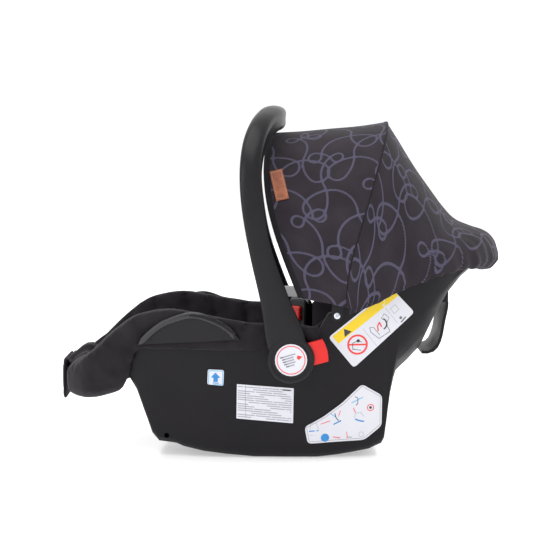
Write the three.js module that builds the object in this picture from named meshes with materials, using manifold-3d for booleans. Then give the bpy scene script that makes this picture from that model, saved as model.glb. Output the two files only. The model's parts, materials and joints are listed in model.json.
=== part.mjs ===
// Infant car seat (group 0+ carrier) with a swinging carry handle and a folding sun canopy.
// Millimetres, +Z up, +X towards the head end, the child's left side at -Y.
// Origin: middle of the length and width, on the floor that the rocker rails stand on.
import * as THREE from 'three';
import { mergeVertices } from 'three/addons/utils/BufferGeometryUtils.js';
import Module from 'manifold-3d';

const wasm = await Module();
wasm.setup();

// ---------------------------------------------------------------- driving dimensions
const seatLength = 678;        // plastic shell, foot lip to head rim
const seatWidth = 384;         // plastic shell across the rim at the handle hubs
const shellWall = 3.5;         // moulded wall
const rimDeck = 13;            // width of the turned-over rim between outer wall and bucket
const outerLean = 0.16;        // outward lean of the side wall, mm per mm of height
const bucketLean = 0.35;       // lean of the bucket wall
const coverThickness = 9;      // padded fabric cover on the rim and in the bucket
const padThickness = 18;       // loose inlay cushion
const clearance = 0.5;         // between pieces that touch
const hubX = 12;               // handle pivot
const hubZ = 162;
const hubRadius = 36;          // round end of the handle arm
const hubBaseRadius = 34;      // socket moulded to the shell side
const lockRadius = 25;         // toothed lock wheel, over its teeth
const lockTravel = 6.5;        // how far the lock wheel retracts into the socket
const buttonTravel = 5;        // handle release button
const boltRadius = 5;
const handleWall = 2.5;        // moulded channel of the carry handle
const webbingWidth = 38;       // harness webbing
const webbingThickness = 1.6;
const canopyThickness = 5;     // lined canopy fabric
const canopyReach = 288.5;     // canopy pivot to the ridge over the middle bow
const canopyPivotX = 85;
const canopyPivotZ = 250;
const bowWidth = 9;            // flat plastic canopy bows
const bowThickness = 3.5;
const labelThickness = 0.5;
const flatHalf = 50;           // half length of the flat stretch of each rocker rail
const flatCentre = 5;

const halfWidth = seatWidth / 2;
const designLength = 678;      // the profile stations below are drawn for this length
const along = (x) => x * seatLength / designLength;
const left = -1;
const right = 1;

// ---------------------------------------------------------------- geometry helpers
const v3 = (x, y, z) => new THREE.Vector3(x, y, z);

function signedVolume(points, triangles) {
  let sum = 0;
  for (const [a, b, c] of triangles) {
    sum += points[a].dot(points[b].clone().cross(points[c])) / 6;
  }
  return sum;
}

// Closed geometry from points and triangles, turned so that its faces point out.
function closedGeometry(points, triangles) {
  const outward = signedVolume(points, triangles) > 0;
  const index = triangles.flatMap(([a, b, c]) => (outward ? [a, b, c] : [a, c, b]));
  const geometry = new THREE.BufferGeometry();
  geometry.setAttribute('position',
    new THREE.Float32BufferAttribute(points.flatMap((p) => [p.x, p.y, p.z]), 3));
  geometry.setIndex(index);
  return geometry;
}

// Triangles of a flat cap over one ring, from the ring's own plane.
function capTriangles(ring) {
  const normal = v3(0, 0, 0);
  ring.forEach((p, i) => normal.add(p.clone().cross(ring[(i + 1) % ring.length])));
  normal.normalize();
  const across = ring[1].clone().sub(ring[0]).normalize();
  const up = normal.clone().cross(across);
  const flat = ring.map((p) => new THREE.Vector2(p.dot(across), p.dot(up)));
  return THREE.ShapeUtils.triangulateShape(flat, []);
}

// Skin over a row of rings that all have the same number of points, capped at both ends.
function loft(rings, cap = capTriangles) {
  const count = rings[0].length;
  const points = rings.flat();
  const triangles = [];
  for (let r = 0; r + 1 < rings.length; r++) {
    for (let i = 0; i < count; i++) {
      const a = r * count + i;
      const b = r * count + (i + 1) % count;
      triangles.push([a, b, b + count], [a, b + count, a + count]);
    }
  }
  const last = (rings.length - 1) * count;
  cap(rings[0]).forEach(([a, b, c]) => triangles.push([a, c, b]));
  cap(rings[rings.length - 1]).forEach(([a, b, c]) => {
    triangles.push([last + a, last + b, last + c]);
  });
  return closedGeometry(points, triangles);
}

// Sheet of fabric with a thickness: grid[row][column] is its outer face, `inside` a point on
// its inner side, and `mitre` gives the inward directions of one row that meets another sheet.
function thickSheet(grid, thickness, inside, mitreRow = -1, mitre = []) {
  const rows = grid.length;
  const columns = grid[0].length;
  const inner = grid.map((row, r) => row.map((p, c) => {
    const down = grid[Math.min(r + 1, rows - 1)][c].clone().sub(grid[Math.max(r - 1, 0)][c]);
    const side = row[Math.min(c + 1, columns - 1)].clone().sub(row[Math.max(c - 1, 0)]);
    const normal = down.cross(side).normalize();
    if (normal.dot(inside.clone().sub(p)) < 0) normal.negate();
    if (r === mitreRow) normal.copy(mitre[c]);
    return p.clone().addScaledVector(normal, thickness);
  }));
  const rings = grid.map((row, r) => [...row, ...inner[r].slice().reverse()]);
  const steps = Array.from({ length: columns - 1 }, (_, c) => c);
  const edge = () => steps.flatMap((c) => [[c, c + 1, 2 * columns - 2 - c],
    [c, 2 * columns - 2 - c, 2 * columns - 1 - c]]);
  return loft(rings, edge);
}

// Flat strap: a rectangle swept along points, its width lying along the given directions.
function ribbon(points, width, thickness, widthDirections) {
  const rings = points.map((p, i) => {
    const ahead = points[Math.min(i + 1, points.length - 1)];
    const behind = points[Math.max(i - 1, 0)];
    const tangent = ahead.clone().sub(behind).normalize();
    const across = widthDirections[i].clone();
    across.addScaledVector(tangent, -across.dot(tangent)).normalize();
    const normal = tangent.clone().cross(across);
    return [[1, 1], [-1, 1], [-1, -1], [1, -1]].map(([w, t]) => p.clone()
      .addScaledVector(across, w * width / 2)
      .addScaledVector(normal, t * thickness / 2));
  });
  return loft(rings);
}

const smooth = (points, steps) => new THREE.CatmullRomCurve3(points, false, 'centripetal')
  .getSpacedPoints(steps);
const sameDirection = (points, direction) => points.map(() => direction);

// An outline in the XZ plane, extruded from y0 to y1.
function sidePlate(outline, y0, y1, curveSegments = 8) {
  const shape = outline instanceof THREE.Shape
    ? outline : new THREE.Shape(outline.map(([x, z]) => new THREE.Vector2(x, z)));
  const options = { depth: y1 - y0, bevelEnabled: false, curveSegments };
  return new THREE.ExtrudeGeometry(shape, options).rotateX(Math.PI / 2).translate(0, y1, 0);
}

// A round bar along Y.
function crossRod(radius, y0, y1, x, z, segments = 24) {
  return new THREE.CylinderGeometry(radius, radius, Math.abs(y1 - y0), segments)
    .translate(x, (y0 + y1) / 2, z);
}

function box(x0, x1, y0, y1, z0, z1) {
  return new THREE.BoxGeometry(x1 - x0, y1 - y0, z1 - z0)
    .translate((x0 + x1) / 2, (y0 + y1) / 2, (z0 + z1) / 2);
}

function roundedOutline(width, height, radius) {
  const w = width / 2;
  const h = height / 2;
  const shape = new THREE.Shape();
  shape.moveTo(-w + radius, -h);
  shape.lineTo(w - radius, -h);
  shape.absarc(w - radius, -h + radius, radius, -Math.PI / 2, 0);
  shape.lineTo(w, h - radius);
  shape.absarc(w - radius, h - radius, radius, 0, Math.PI / 2);
  shape.lineTo(-w + radius, h);
  shape.absarc(-w + radius, h - radius, radius, Math.PI / 2, Math.PI);
  shape.lineTo(-w, -h + radius);
  shape.absarc(-w + radius, -h + radius, radius, Math.PI, Math.PI * 1.5);
  return shape;
}

// A block with rounded corners seen along its own X, centred on the origin.
function softBlock(depth, width, height, radius, bevel = 1.5) {
  const options = { depth: depth - 2 * bevel, bevelThickness: bevel, bevelSize: bevel,
    bevelOffset: -bevel, bevelSegments: 1, curveSegments: 2 };
  return new THREE.ExtrudeGeometry(roundedOutline(width, height, radius), options)
    .translate(0, 0, bevel - depth / 2)
    .rotateY(Math.PI / 2)
    .rotateX(Math.PI / 2);
}

// ---------------------------------------------------------------- boolean helpers
function solid(geometry) {
  const bare = geometry.clone();
  bare.deleteAttribute('normal');
  bare.deleteAttribute('uv');
  const merged = mergeVertices(bare, 1e-4);
  return new wasm.Manifold(new wasm.Mesh({
    numProp: 3,
    vertProperties: new Float32Array(merged.attributes.position.array),
    triVerts: new Uint32Array(merged.index.array),
  }));
}

function shapeOf(body) {
  const mesh = body.getMesh();
  const geometry = new THREE.BufferGeometry();
  geometry.setAttribute('position', new THREE.BufferAttribute(mesh.vertProperties, 3));
  geometry.setIndex(new THREE.BufferAttribute(mesh.triVerts, 1));
  return geometry;
}

// The same piece for the other side of the seat.
function mirrored(geometry) {
  const copy = geometry.index ? geometry.clone() : mergeVertices(geometry, 1e-4);
  copy.scale(1, -1, 1);
  const index = Array.from(copy.index.array);
  for (let i = 0; i < index.length; i += 3) {
    [index[i + 1], index[i + 2]] = [index[i + 2], index[i + 1]];
  }
  copy.setIndex(index);
  return copy;
}
const onSide = (geometry, side) => (side === left ? geometry : mirrored(geometry));

// ---------------------------------------------------------------- shell form
// Outer shell at each station along X: how far the rim lies inside the widest half width,
// rim height, height where the side turns under, keel height, and the radius of that turn.
const shellStations = [
  [-337, 122, 126, 112, 100, 26], [-330, 98, 134, 112, 97, 34], [-316, 74, 146, 112, 96, 38],
  [-296, 59, 161, 114, 99, 40], [-268, 46, 188, 122, 108, 38], [-240, 36, 210, 136, 121, 34],
  [-229, 32, 216, 118, 103, 28], [-217, 29, 220, 84, 68, 24], [-205, 26, 223, 51, 34, 20],
  [-195, 24, 225, 40, 22, 18], [-168, 18, 227, 37, 19, 18], [-155, 15, 225, 32, 14, 18],
  [-124, 9, 219, 25.5, 7.5, 18], [-90, 6, 212, 21.5, 3.5, 18],
  [flatCentre - flatHalf, 3, 205, 18, 0, 18], [hubX, 0, 202, 18, 0, 18],
  [50, 0, 201, 18, 0, 18], [flatCentre + flatHalf, 0, 205, 18, 0, 18],
  [70, 0, 230, 18.8, 0.8, 18], [86, 1, 237, 20.3, 2.3, 18], [107, 2, 246, 23.5, 5.5, 18],
  [136, 4, 259, 28.5, 10.5, 18], [156, 6, 269, 38, 19, 20], [160, 7, 271, 46, 27, 22],
  [164, 7.5, 273, 80, 57, 26], [168, 8, 275, 112, 92, 36], [173, 9, 277, 138, 114, 60],
  [180, 10, 281, 182, 125, 110], [200, 14, 290, 207, 138, 150], [220, 19, 297, 228, 158, 170],
  [240, 27, 303, 251, 202, 170], [260, 39, 309, 272, 245, 170], [280, 55, 314, 288, 274, 170],
  [300, 77, 318, 301, 291, 170], [320, 106, 321, 307, 297, 170], [333, 140, 322, 310, 301, 170],
  [341, 170, 322, 312, 305, 170],
];
const footStation = shellStations[0][0];
const headStation = shellStations[shellStations.length - 1][0];

// Bucket that the child sits in: station, floor height, height where the side turns, radius.
const bucketStations = [
  [-324, 133, 137, 25], [-300, 131, 142, 40], [-268, 128, 150, 50], [-240, 127, 156, 56],
  [-200, 110, 150, 60], [-140, 88, 135, 60], [-80, 70, 120, 60], [-30, 61, 111, 60],
  [10, 60, 110, 60], [50, 76, 126, 60], [90, 108, 152, 60], [130, 146, 186, 60],
  [180, 196, 234, 60], [230, 243, 270, 60], [270, 277, 296, 55], [300, 297, 309, 40],
  [326, 312, 317, 25],
];

// Straight-line reading of column `column` of a station table at x.
function reading(table, column, x) {
  let i = 0;
  while (i + 2 < table.length && x > table[i + 1][0]) i++;
  const [a, b] = [table[i], table[i + 1]];
  const share = THREE.MathUtils.clamp((x - a[0]) / (b[0] - a[0]), 0, 1);
  return a[column] + (b[column] - a[column]) * share;
}
function slope(table, column, x) {
  const step = 6;
  return (reading(table, column, x + step) - reading(table, column, x - step)) / (2 * step);
}
const steepest = 2.2;          // caps the correction that keeps an offset square to a slope
const square = (grade) => Math.min(Math.hypot(1, grade), steepest);

const rimHalf = (x) => halfWidth - reading(shellStations, 1, x);
const rimHeight = (x) => reading(shellStations, 2, x);
const bucketFloor = (x) => reading(bucketStations, 1, x);
const wallHalf = (x, z) => rimHalf(x) - outerLean * (rimHeight(x) - z);

// One U-shaped cross-section: from rim to rim under the keel.
const narrowest = 8;           // a section never closes to less than this half width
function crossSection(x, halfRim, top, lean, turn, keel, radius) {
  const low = Math.max(halfRim - lean * (top - turn), narrowest);
  const rim = Math.max(halfRim, low);
  const corner = Math.min(radius, low - narrowest / 2);
  const half = [[rim, top]];
  const turnSteps = 3;
  for (let k = 0; k <= turnSteps; k++) {
    const angle = (k / turnSteps) * Math.PI / 2;
    half.push([low - corner + corner * Math.cos(angle), turn - (turn - keel) * Math.sin(angle)]);
  }
  const leftSide = half.map(([y, z]) => v3(x, -y, z));
  const rightSide = half.slice().reverse().map(([y, z]) => v3(x, y, z));
  return [...leftSide, v3(x, 0, keel), ...rightSide];
}

// Outer form of the shell, grown by `offset` on every side and by `topOffset` at the rim.
function shellForm(offset, topOffset = offset) {
  const rings = shellStations.map(([x], i) => {
    const end = i === 0 ? -1 : (i === shellStations.length - 1 ? 1 : 0);
    const rim = rimHalf(x) + offset * square(slope(shellStations, 1, x)) + outerLean * topOffset;
    const top = rimHeight(x) + topOffset;
    const turn = reading(shellStations, 3, x);
    const drop = offset * square(slope(shellStations, 4, x));
    const keel = reading(shellStations, 4, x) - drop;
    const lowest = Math.min(keel, turn - 1);
    return crossSection(along(x) + end * offset, rim, top, outerLean, turn, lowest,
      reading(shellStations, 5, x));
  });
  return solid(loft(rings));
}

// The bucket's hollow, grown by `offset` (a wall) or shrunk by it (what lines the bucket).
const bucketHeadroom = 60;
function bucketForm(offset) {
  const first = bucketStations[0][0];
  const last = bucketStations[bucketStations.length - 1][0];
  const stations = [first, ...shellStations.map(([x]) => x).filter((x) => x > first + 4
    && x < last - 4), last];
  const rings = stations.map((x, i) => {
    const end = i === 0 ? -1 : (i === stations.length - 1 ? 1 : 0);
    const rim = rimHalf(x) - rimDeck + offset * square(slope(shellStations, 1, x));
    const rise = bucketHeadroom;
    const floor = bucketFloor(x) - offset * square(slope(bucketStations, 1, x));
    const turn = Math.max(reading(bucketStations, 2, x), floor + 3);
    const top = rimHeight(x) + rise;
    const radius = reading(bucketStations, 3, x);
    return crossSection(along(x) + end * offset, rim + bucketLean * rise, top,
      bucketLean, turn, floor, radius);
  });
  return solid(loft(rings));
}

const outerForm = shellForm(0);
const outerInside = shellForm(-shellWall, -shellWall);
const bucket = bucketForm(0);
const bucketOutside = bucketForm(shellWall);

// ---------------------------------------------------------------- scene and materials
const carSeat = new THREE.Group();
carSeat.name = 'infant_car_seat';

const finishes = {
  plastic: { color: 0x2b2a2c, roughness: 0.55, metalness: 0 },
  fabric: { color: 0x2a282a, roughness: 0.95, metalness: 0 },
  canopyFabric: { color: 0x3a343a, roughness: 0.95, metalness: 0 },
  webbing: { color: 0x1f1e20, roughness: 0.9, metalness: 0 },
  red: { color: 0xe8352f, roughness: 0.4, metalness: 0 },
  grey: { color: 0x9a9a9c, roughness: 0.5, metalness: 0 },
  steel: { color: 0xb9bcc0, roughness: 0.3, metalness: 1 },
  label: { color: 0xf2f2f4, roughness: 0.6, metalness: 0 },
  leather: { color: 0xb06a45, roughness: 0.7, metalness: 0 },
};

function add(name, geometry, finish, parent = carSeat) {
  const mesh = new THREE.Mesh(geometry, new THREE.MeshStandardMaterial(finishes[finish]));
  mesh.name = name;
  parent.add(mesh);
  return mesh;
}
const sideName = (side) => (side === left ? 'left' : 'right');
const faceTo = (side, a, b) => (side === left ? [-b, -a] : [a, b]);

// ---------------------------------------------------------------- where things pass through
// Harness slots: cutters along the first stretch of each strap.
const shoulderSpread = 42;     // half distance between the shoulder straps at the backrest
const slotWidth = webbingWidth + 8;
const slotHeight = 8;
const slotX = 190;             // station of the shoulder slots
const backNormal = v3(-slope(bucketStations, 1, slotX), 0, 1).normalize().negate();
const acrossSeat = v3(0, 1, 0);

function backPoint(height, y) {
  return v3(along(slotX), y, bucketFloor(slotX)).addScaledVector(backNormal, -height);
}
const slotReach = coverThickness + padThickness + 12;
function shoulderSlot(side) {
  const points = [backPoint(-14, side * shoulderSpread), backPoint(slotReach, side * shoulderSpread)];
  return solid(ribbon(points, slotWidth, slotHeight, sameDirection(points, acrossSeat)));
}
const crotchX = 12;
const crotchFloor = bucketFloor(crotchX);
const crotchSlot = solid(box(along(crotchX) - slotHeight / 2, along(crotchX) + slotHeight / 2,
  -slotWidth / 2, slotWidth / 2, crotchFloor - 12, crotchFloor + slotReach));
const adjusterSlotX = -220;
const adjusterSlotHalf = 11;
const adjusterSlot = solid(box(along(adjusterSlotX) - adjusterSlotHalf,
  along(adjusterSlotX) + adjusterSlotHalf, -slotWidth / 2, slotWidth / 2,
  bucketFloor(adjusterSlotX) - 20, bucketFloor(adjusterSlotX) + 20));
const harnessSlots = [shoulderSlot(left), shoulderSlot(right), crotchSlot, adjusterSlot];

// ---------------------------------------------------------------- stack of each handle hub
const socketInner = halfWidth - 13;                     // inside the shell's hollow wall
const socketFace = halfWidth + 11.9;                    // face that the handle turns against
const handleInnerFace = socketFace + 0.6;
const handleHubThickness = 10;
const handleHubFace = handleInnerFace + handleHubThickness;
const capThickness = 4.7;
const capInner = handleHubFace + 0.4;
const capFace = capInner + capThickness;
const pocketClearance = 0.5;
const lockOverlap = 6.3;                                // teeth that reach into the handle
const lockOuter = handleInnerFace + lockOverlap;
const lockInner = socketFace - 7.9;
const pocketFloor = lockInner - lockTravel - 1;
const rimScrewX = 83;
const rimScrewZ = 227;
const frontHoleX = -182;
const frontHoleZ = 33;
const frontHoleRadius = 4.25;
const screwShank = 2;

const hubCutters = [left, right].map((side) => solid(crossRod(hubBaseRadius + clearance,
  side * (socketInner - 3), side * (halfWidth + 40), hubX, hubZ, 32)));

// ---------------------------------------------------------------- plastic shell
// One hollow moulding: outer wall, rim deck and bucket, open underneath between two rails.
const railInner = 108;
const undersideFrom = -150;
const undersideTo = 128;
const undersideCutTop = 30;
const underside = solid(box(along(undersideFrom), along(undersideTo), -railInner, railInner,
  -10, undersideCutTop));
const screwHoles = [left, right].map((side) => solid(crossRod(screwShank + 0.6,
  side * (halfWidth - 8), side * (halfWidth + 20), along(rimScrewX), rimScrewZ, 12)));
const frontHole = solid(crossRod(frontHoleRadius, -seatWidth, seatWidth,
  along(frontHoleX), frontHoleZ, 16));

function makeShell() {
  let body = outerForm.subtract(bucket).subtract(outerInside.subtract(bucketOutside));
  for (const cutter of [underside, frontHole, ...screwHoles, ...hubCutters, ...harnessSlots]) {
    body = body.subtract(cutter);
  }
  return body;
}
add('shell', shapeOf(makeShell()), 'plastic');

// ---------------------------------------------------------------- padded seat cover
// Fabric that lines the bucket and rolls over the rim; its elastic hem grips the foot end.
const hemFoot = 60;
const coverBackX = 57;         // the rolled rim stops here, under the canopy's front corner
const hemLine = [[-380, hemFoot], [-266, 86], [-247, 116], [-238, 136], [-228, 172], [-66, 172],
  [coverBackX, 181], [coverBackX, 320], [-380, 320]];
const linerDrop = 4;           // behind that the lining ends this far below the rim
function makeCover() {
  const outside = sidePlate(hemLine.map(([x, z]) => [along(x), z]), -seatWidth, seatWidth);
  const roll = shellForm(coverThickness).intersect(solid(outside));
  const linerTop = shellStations.filter(([x]) => x > coverBackX)
    .map(([x]) => [along(x), rimHeight(x) - linerDrop]);
  const linerSide = [[-seatLength, 0], [seatLength, 0], [seatLength, 300], ...linerTop.reverse(),
    [along(coverBackX), 320], [-seatLength, 320]];
  const liner = bucketForm(-clearance)
    .intersect(solid(sidePlate(linerSide, -seatWidth, seatWidth)))
    .intersect(shellForm(coverThickness));
  const plasticRoom = shellForm(clearance).subtract(bucketForm(-clearance));
  let body = roll.add(liner).subtract(plasticRoom).subtract(bucketForm(-coverThickness));
  for (const side of [left, right]) {
    body = body.subtract(solid(crossRod(hubRadius + 2, side * (halfWidth - 12),
      side * (halfWidth + 40), hubX, hubZ, 32)));
    for (const lug of guideLugs) {
      body = body.subtract(lugBox(lug, side, clearance));
    }
  }
  for (const cutter of harnessSlots) body = body.subtract(cutter);
  return body;
}

// ---------------------------------------------------------------- lap belt guides
// Half-moon hook on each side of the rim, a rolled edge over the top, the belt below it.
const guideLeft = [-225, 180];
const guideRight = [-67, 191];
const guideArc = [guideLeft, [-205, 201], [-180, 218], [-137, 230], [-100, 219], [-80, 206],
  guideRight];
const guideInner = coverThickness + clearance;         // from the wall to the plate
const guidePlate = 4;
const guideRoll = 3.6;
const guideLugs = [[-211, -199, 186, 198], [-92, -80, 190, 201]];
const lugBox = ([x0, x1, z0, z1], side, grow) => {
  const root = Math.min(wallHalf(x0, z0), wallHalf(x1, z0));
  const inner = grow > 0 ? root - 20 : root - 2;
  const outer = Math.max(wallHalf(x0, z1), wallHalf(x1, z1)) + guideInner + guidePlate / 2;
  const [a, b] = faceTo(side, inner, outer);
  return solid(box(along(x0) - grow, along(x1) + grow, a, b, z0 - grow, z1 + grow));
};
function makeBeltGuide() {
  const arc = new THREE.CatmullRomCurve3(guideArc.map(([x, z]) => v3(x, 0, z)), false,
    'centripetal').getSpacedPoints(11);
  const outline = solid(sidePlate(arc.map((p) => [along(p.x), p.z]), -seatWidth, 0));
  const plate = shellForm(guideInner + guidePlate).subtract(shellForm(guideInner))
    .intersect(outline);
  const sides = 6;
  const rings = arc.map((p, i) => {
    const tangent = arc[Math.min(i + 1, arc.length - 1)].clone()
      .sub(arc[Math.max(i - 1, 0)]).normalize();
    const normal = v3(-tangent.z, 0, tangent.x);
    const rollY = -(wallHalf(p.x, p.z) + guideInner + guideRoll + 0.1);
    return Array.from({ length: sides }, (_, k) => {
      const angle = (k / sides) * 2 * Math.PI;
      return v3(along(p.x), rollY, p.z)
        .addScaledVector(normal, guideRoll * (Math.cos(angle) - 0.4))
        .add(v3(0, guideRoll * Math.sin(angle), 0));
    });
  });
  let body = plate.add(solid(loft(rings)));
  for (const lug of guideLugs) body = body.add(lugBox(lug, left, 0));
  return shapeOf(body.subtract(shellForm(clearance)));
}
const beltGuide = makeBeltGuide();
for (const side of [left, right]) {
  add(`lap_belt_guide_${sideName(side)}`, onSide(beltGuide, side), 'plastic');
}
add('seat_cover', shapeOf(makeCover()), 'fabric');

// ---------------------------------------------------------------- inlay cushion and head ring
const padHalf = 96;
function makePad() {
  const outer = bucketForm(-(coverThickness + clearance));
  const inner = bucketForm(-(coverThickness + clearance + padThickness));
  const room = solid(box(along(-170), along(246), -padHalf, padHalf, 40, 330));
  let body = outer.subtract(inner).intersect(room);
  for (const cutter of harnessSlots) body = body.subtract(cutter);
  return body;
}
add('seat_pad', shapeOf(makePad()), 'fabric');

// ---------------------------------------------------------------- labels on the left wall
// Thin plates that follow the wall.
const labelSkin = shellForm(0.4 + labelThickness).subtract(shellForm(0.4));
const roundedCorners = (points, radius) => {
  const shape = new THREE.Shape();
  points.forEach((p, i) => {
    const here = new THREE.Vector2(...p);
    const before = new THREE.Vector2(...points[(i + points.length - 1) % points.length]);
    const after = new THREE.Vector2(...points[(i + 1) % points.length]);
    const from = here.clone().add(before.sub(here).setLength(radius));
    const to = here.clone().add(after.sub(here).setLength(radius));
    if (i === 0) shape.moveTo(from.x, from.y);
    else shape.lineTo(from.x, from.y);
    shape.quadraticCurveTo(here.x, here.y, to.x, to.y);
  });
  shape.closePath();
  return shape;
};
function wallLabel(name, points, radius) {
  const outline = roundedCorners(points.map(([x, z]) => [along(x), z]), radius);
  const cutter = solid(sidePlate(outline, -seatWidth, -halfWidth / 2, 3));
  add(name, shapeOf(labelSkin.intersect(cutter)), 'label');
}
wallLabel('arrow_label', [[-117, 118], [-92, 116], [-91, 141], [-116, 142]], 3);
wallLabel('info_label', [[-72, 64], [16, 57], [17, 113], [-71, 119]], 1);
wallLabel('airbag_label', [[70, 193], [110, 144], [204, 230], [166, 270]], 6);
wallLabel('route_label', [[34, 51], [39, 24], [128, 28], [155, 50], [155, 99], [123, 118],
  [92, 88], [65, 68]], 6);

// ---------------------------------------------------------------- handle hubs on the shell
const hubRod = (radius, a, b, side, segments = 32) => {
  const [y0, y1] = faceTo(side, a, b);
  return solid(crossRod(radius, y0, y1, hubX, hubZ, segments));
};
const lockTeeth = 12;
const toothDepth = 3;
function gearOutline(radius, depth) {
  const shape = new THREE.Shape();
  const step = (2 * Math.PI) / lockTeeth;
  for (let i = 0; i < lockTeeth; i++) {
    const angle = i * step;
    const corners = [[radius - depth, -0.3], [radius, -0.17], [radius, 0.17],
      [radius - depth, 0.3]];
    corners.forEach(([r, share], k) => {
      const x = hubX + r * Math.cos(angle + share * step);
      const z = hubZ + r * Math.sin(angle + share * step);
      if (i === 0 && k === 0) shape.moveTo(x, z);
      else shape.lineTo(x, z);
    });
  }
  shape.closePath();
  return shape;
}
const springCoil = 10;         // mean radius of the lock spring
const springWire = 0.9;
const springTurns = 3;
const springGap = 1.2;
const webFace = lockOuter - 4; // the spring bears on the web of the lock wheel
function lockSpring() {
  const start = pocketFloor + springWire + springGap / 2;
  const length = webFace - springWire - springGap / 2 - start;
  const steps = springTurns * 8;
  const points = Array.from({ length: steps + 1 }, (_, i) => {
    const angle = (i / steps) * springTurns * 2 * Math.PI;
    return v3(hubX + springCoil * Math.cos(angle), -(start + length * i / steps),
      hubZ + springCoil * Math.sin(angle));
  });
  const wire = new THREE.Shape();
  for (let k = 0; k < 4; k++) {
    const angle = (k / 4) * 2 * Math.PI;
    const [a, b] = [springWire * Math.cos(angle), springWire * Math.sin(angle)];
    if (k === 0) wire.moveTo(a, b);
    else wire.lineTo(a, b);
  }
  wire.closePath();
  const path = new THREE.CatmullRomCurve3(points);
  return new THREE.ExtrudeGeometry(wire, { steps, extrudePath: path, bevelEnabled: false });
}
const springRecess = springCoil + springWire + 2;
const boltHead = 9;
const boltHeadThickness = 4;
for (const side of [left, right]) {
  const base = hubRod(hubBaseRadius, socketInner, socketFace, side)
    .subtract(hubRod(lockRadius + pocketClearance, pocketFloor, socketFace + 1, side, 24))
    .subtract(hubRod(boltRadius + 0.4, socketInner - 1, socketFace, side, 12));
  add(`hub_socket_${sideName(side)}`, shapeOf(base), 'plastic');
  const [g0, g1] = faceTo(side, lockInner, lockOuter);
  const wheel = solid(sidePlate(gearOutline(lockRadius, toothDepth), g0, g1))
    .subtract(hubRod(springRecess, lockInner - 1, webFace, side, 14))
    .subtract(hubRod(boltRadius + 1, lockInner - 1, lockOuter + 1, side, 12));
  add(`lock_wheel_${sideName(side)}`, shapeOf(wheel), 'grey');
  add(`lock_spring_${sideName(side)}`, onSide(lockSpring(), side), 'steel');
  const bolt = hubRod(boltRadius, socketInner - 1, handleHubFace + 0.8, side, 12)
    .add(hubRod(boltHead, socketInner - boltHeadThickness - 0.4, socketInner - 0.4, side, 12))
    .add(hubRod(boltHead, handleHubFace + 0.5, handleHubFace + 2.6, side, 12));
  add(`pivot_bolt_${sideName(side)}`, shapeOf(bolt), 'steel');
}

// ---------------------------------------------------------------- carry handle
// Arch from hub to hub: x, distance from the middle, z, half width, half thickness.
const armMiddle = handleInnerFace + 7.4;
const armOut = armMiddle - 211.9;
const handleRows = [
  [hubX, 211.9, hubZ, 29, 7.6], [6, 211.9, 184, 29.5, 7.6], [0, 211.9, 207, 28.5, 7.6],
  [-13, 211.9, 253, 22, 7.6], [-34.5, 212.5, 329, 17.5, 8.2], [-46, 212, 395, 17.2, 8.5],
  [-49, 203, 445, 16.8, 12], [-44, 181, 485, 17.3, 15.5], [-33, 148, 512, 18, 18],
  [-20, 98, 527, 19, 19.5], [-13, 45, 531.5, 19.5, 20], [-12.5, 0, 532, 19.5, 20],
];
const archMiddle = v3(-20, 0, 330);
function handleStations() {
  const half = handleRows.map(([x, y, z, a, b]) => ({ p: v3(x, -(y + armOut), z), a, b }));
  half[half.length - 1].p.y = 0;
  const other = half.slice(0, -1).reverse()
    .map(({ p, a, b }) => ({ p: v3(p.x, -p.y, p.z), a, b }));
  const rows = [...half, ...other];
  const route = new THREE.CatmullRomCurve3(rows.map((row) => row.p), false, 'centripetal');
  const sizes = new THREE.CatmullRomCurve3(rows.map(({ a, b }) => v3(a, b, 0)), false,
    'centripetal');
  const steps = 30;
  return Array.from({ length: steps + 1 }, (_, i) => {
    const t = i / steps;
    const p = route.getPoint(t);
    const tangent = route.getTangent(t);
    const outward = p.clone().sub(archMiddle);
    outward.addScaledVector(tangent, -outward.dot(tangent)).normalize();
    const across = tangent.clone().cross(outward);
    const size = sizes.getPoint(t);
    return { p, outward, across, a: size.x, b: size.y };
  });
}
const partingGap = 0.15;
const channelSteps = 5;
function handleChannel(sign) {
  const rings = handleStations().map(({ p, outward, across, a, b }) => {
    const point = (u, v) => p.clone().addScaledVector(across, u)
      .addScaledVector(outward, sign * (v + partingGap));
    const skin = [];
    const lining = [];
    for (let k = 0; k <= channelSteps; k++) {
      const angle = (k / channelSteps) * Math.PI;
      const bulge = Math.sqrt(Math.sin(angle));
      skin.push(point(a * Math.cos(angle), b * bulge));
      lining.push(point((a - handleWall) * Math.cos(angle), (b - handleWall) * bulge));
    }
    return [...skin, ...lining.reverse()];
  });
  return solid(loft(rings));
}
const buttonTilt = THREE.MathUtils.degToRad(15);
const buttonHalf = 17.5;
const buttonTip = 57;
const buttonRoot = lockRadius + buttonTravel + 1.5;
const buttonBlock = (from, to, half, y0, y1) => {
  const outline = [[from, -half], [to, -half], [to, half], [from, half]].map(([r, s]) => [
    hubX + r * Math.cos(buttonTilt) - s * Math.sin(buttonTilt),
    hubZ + r * Math.sin(buttonTilt) + s * Math.cos(buttonTilt)]);
  return solid(sidePlate(outline, y0, y1));
};
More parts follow.
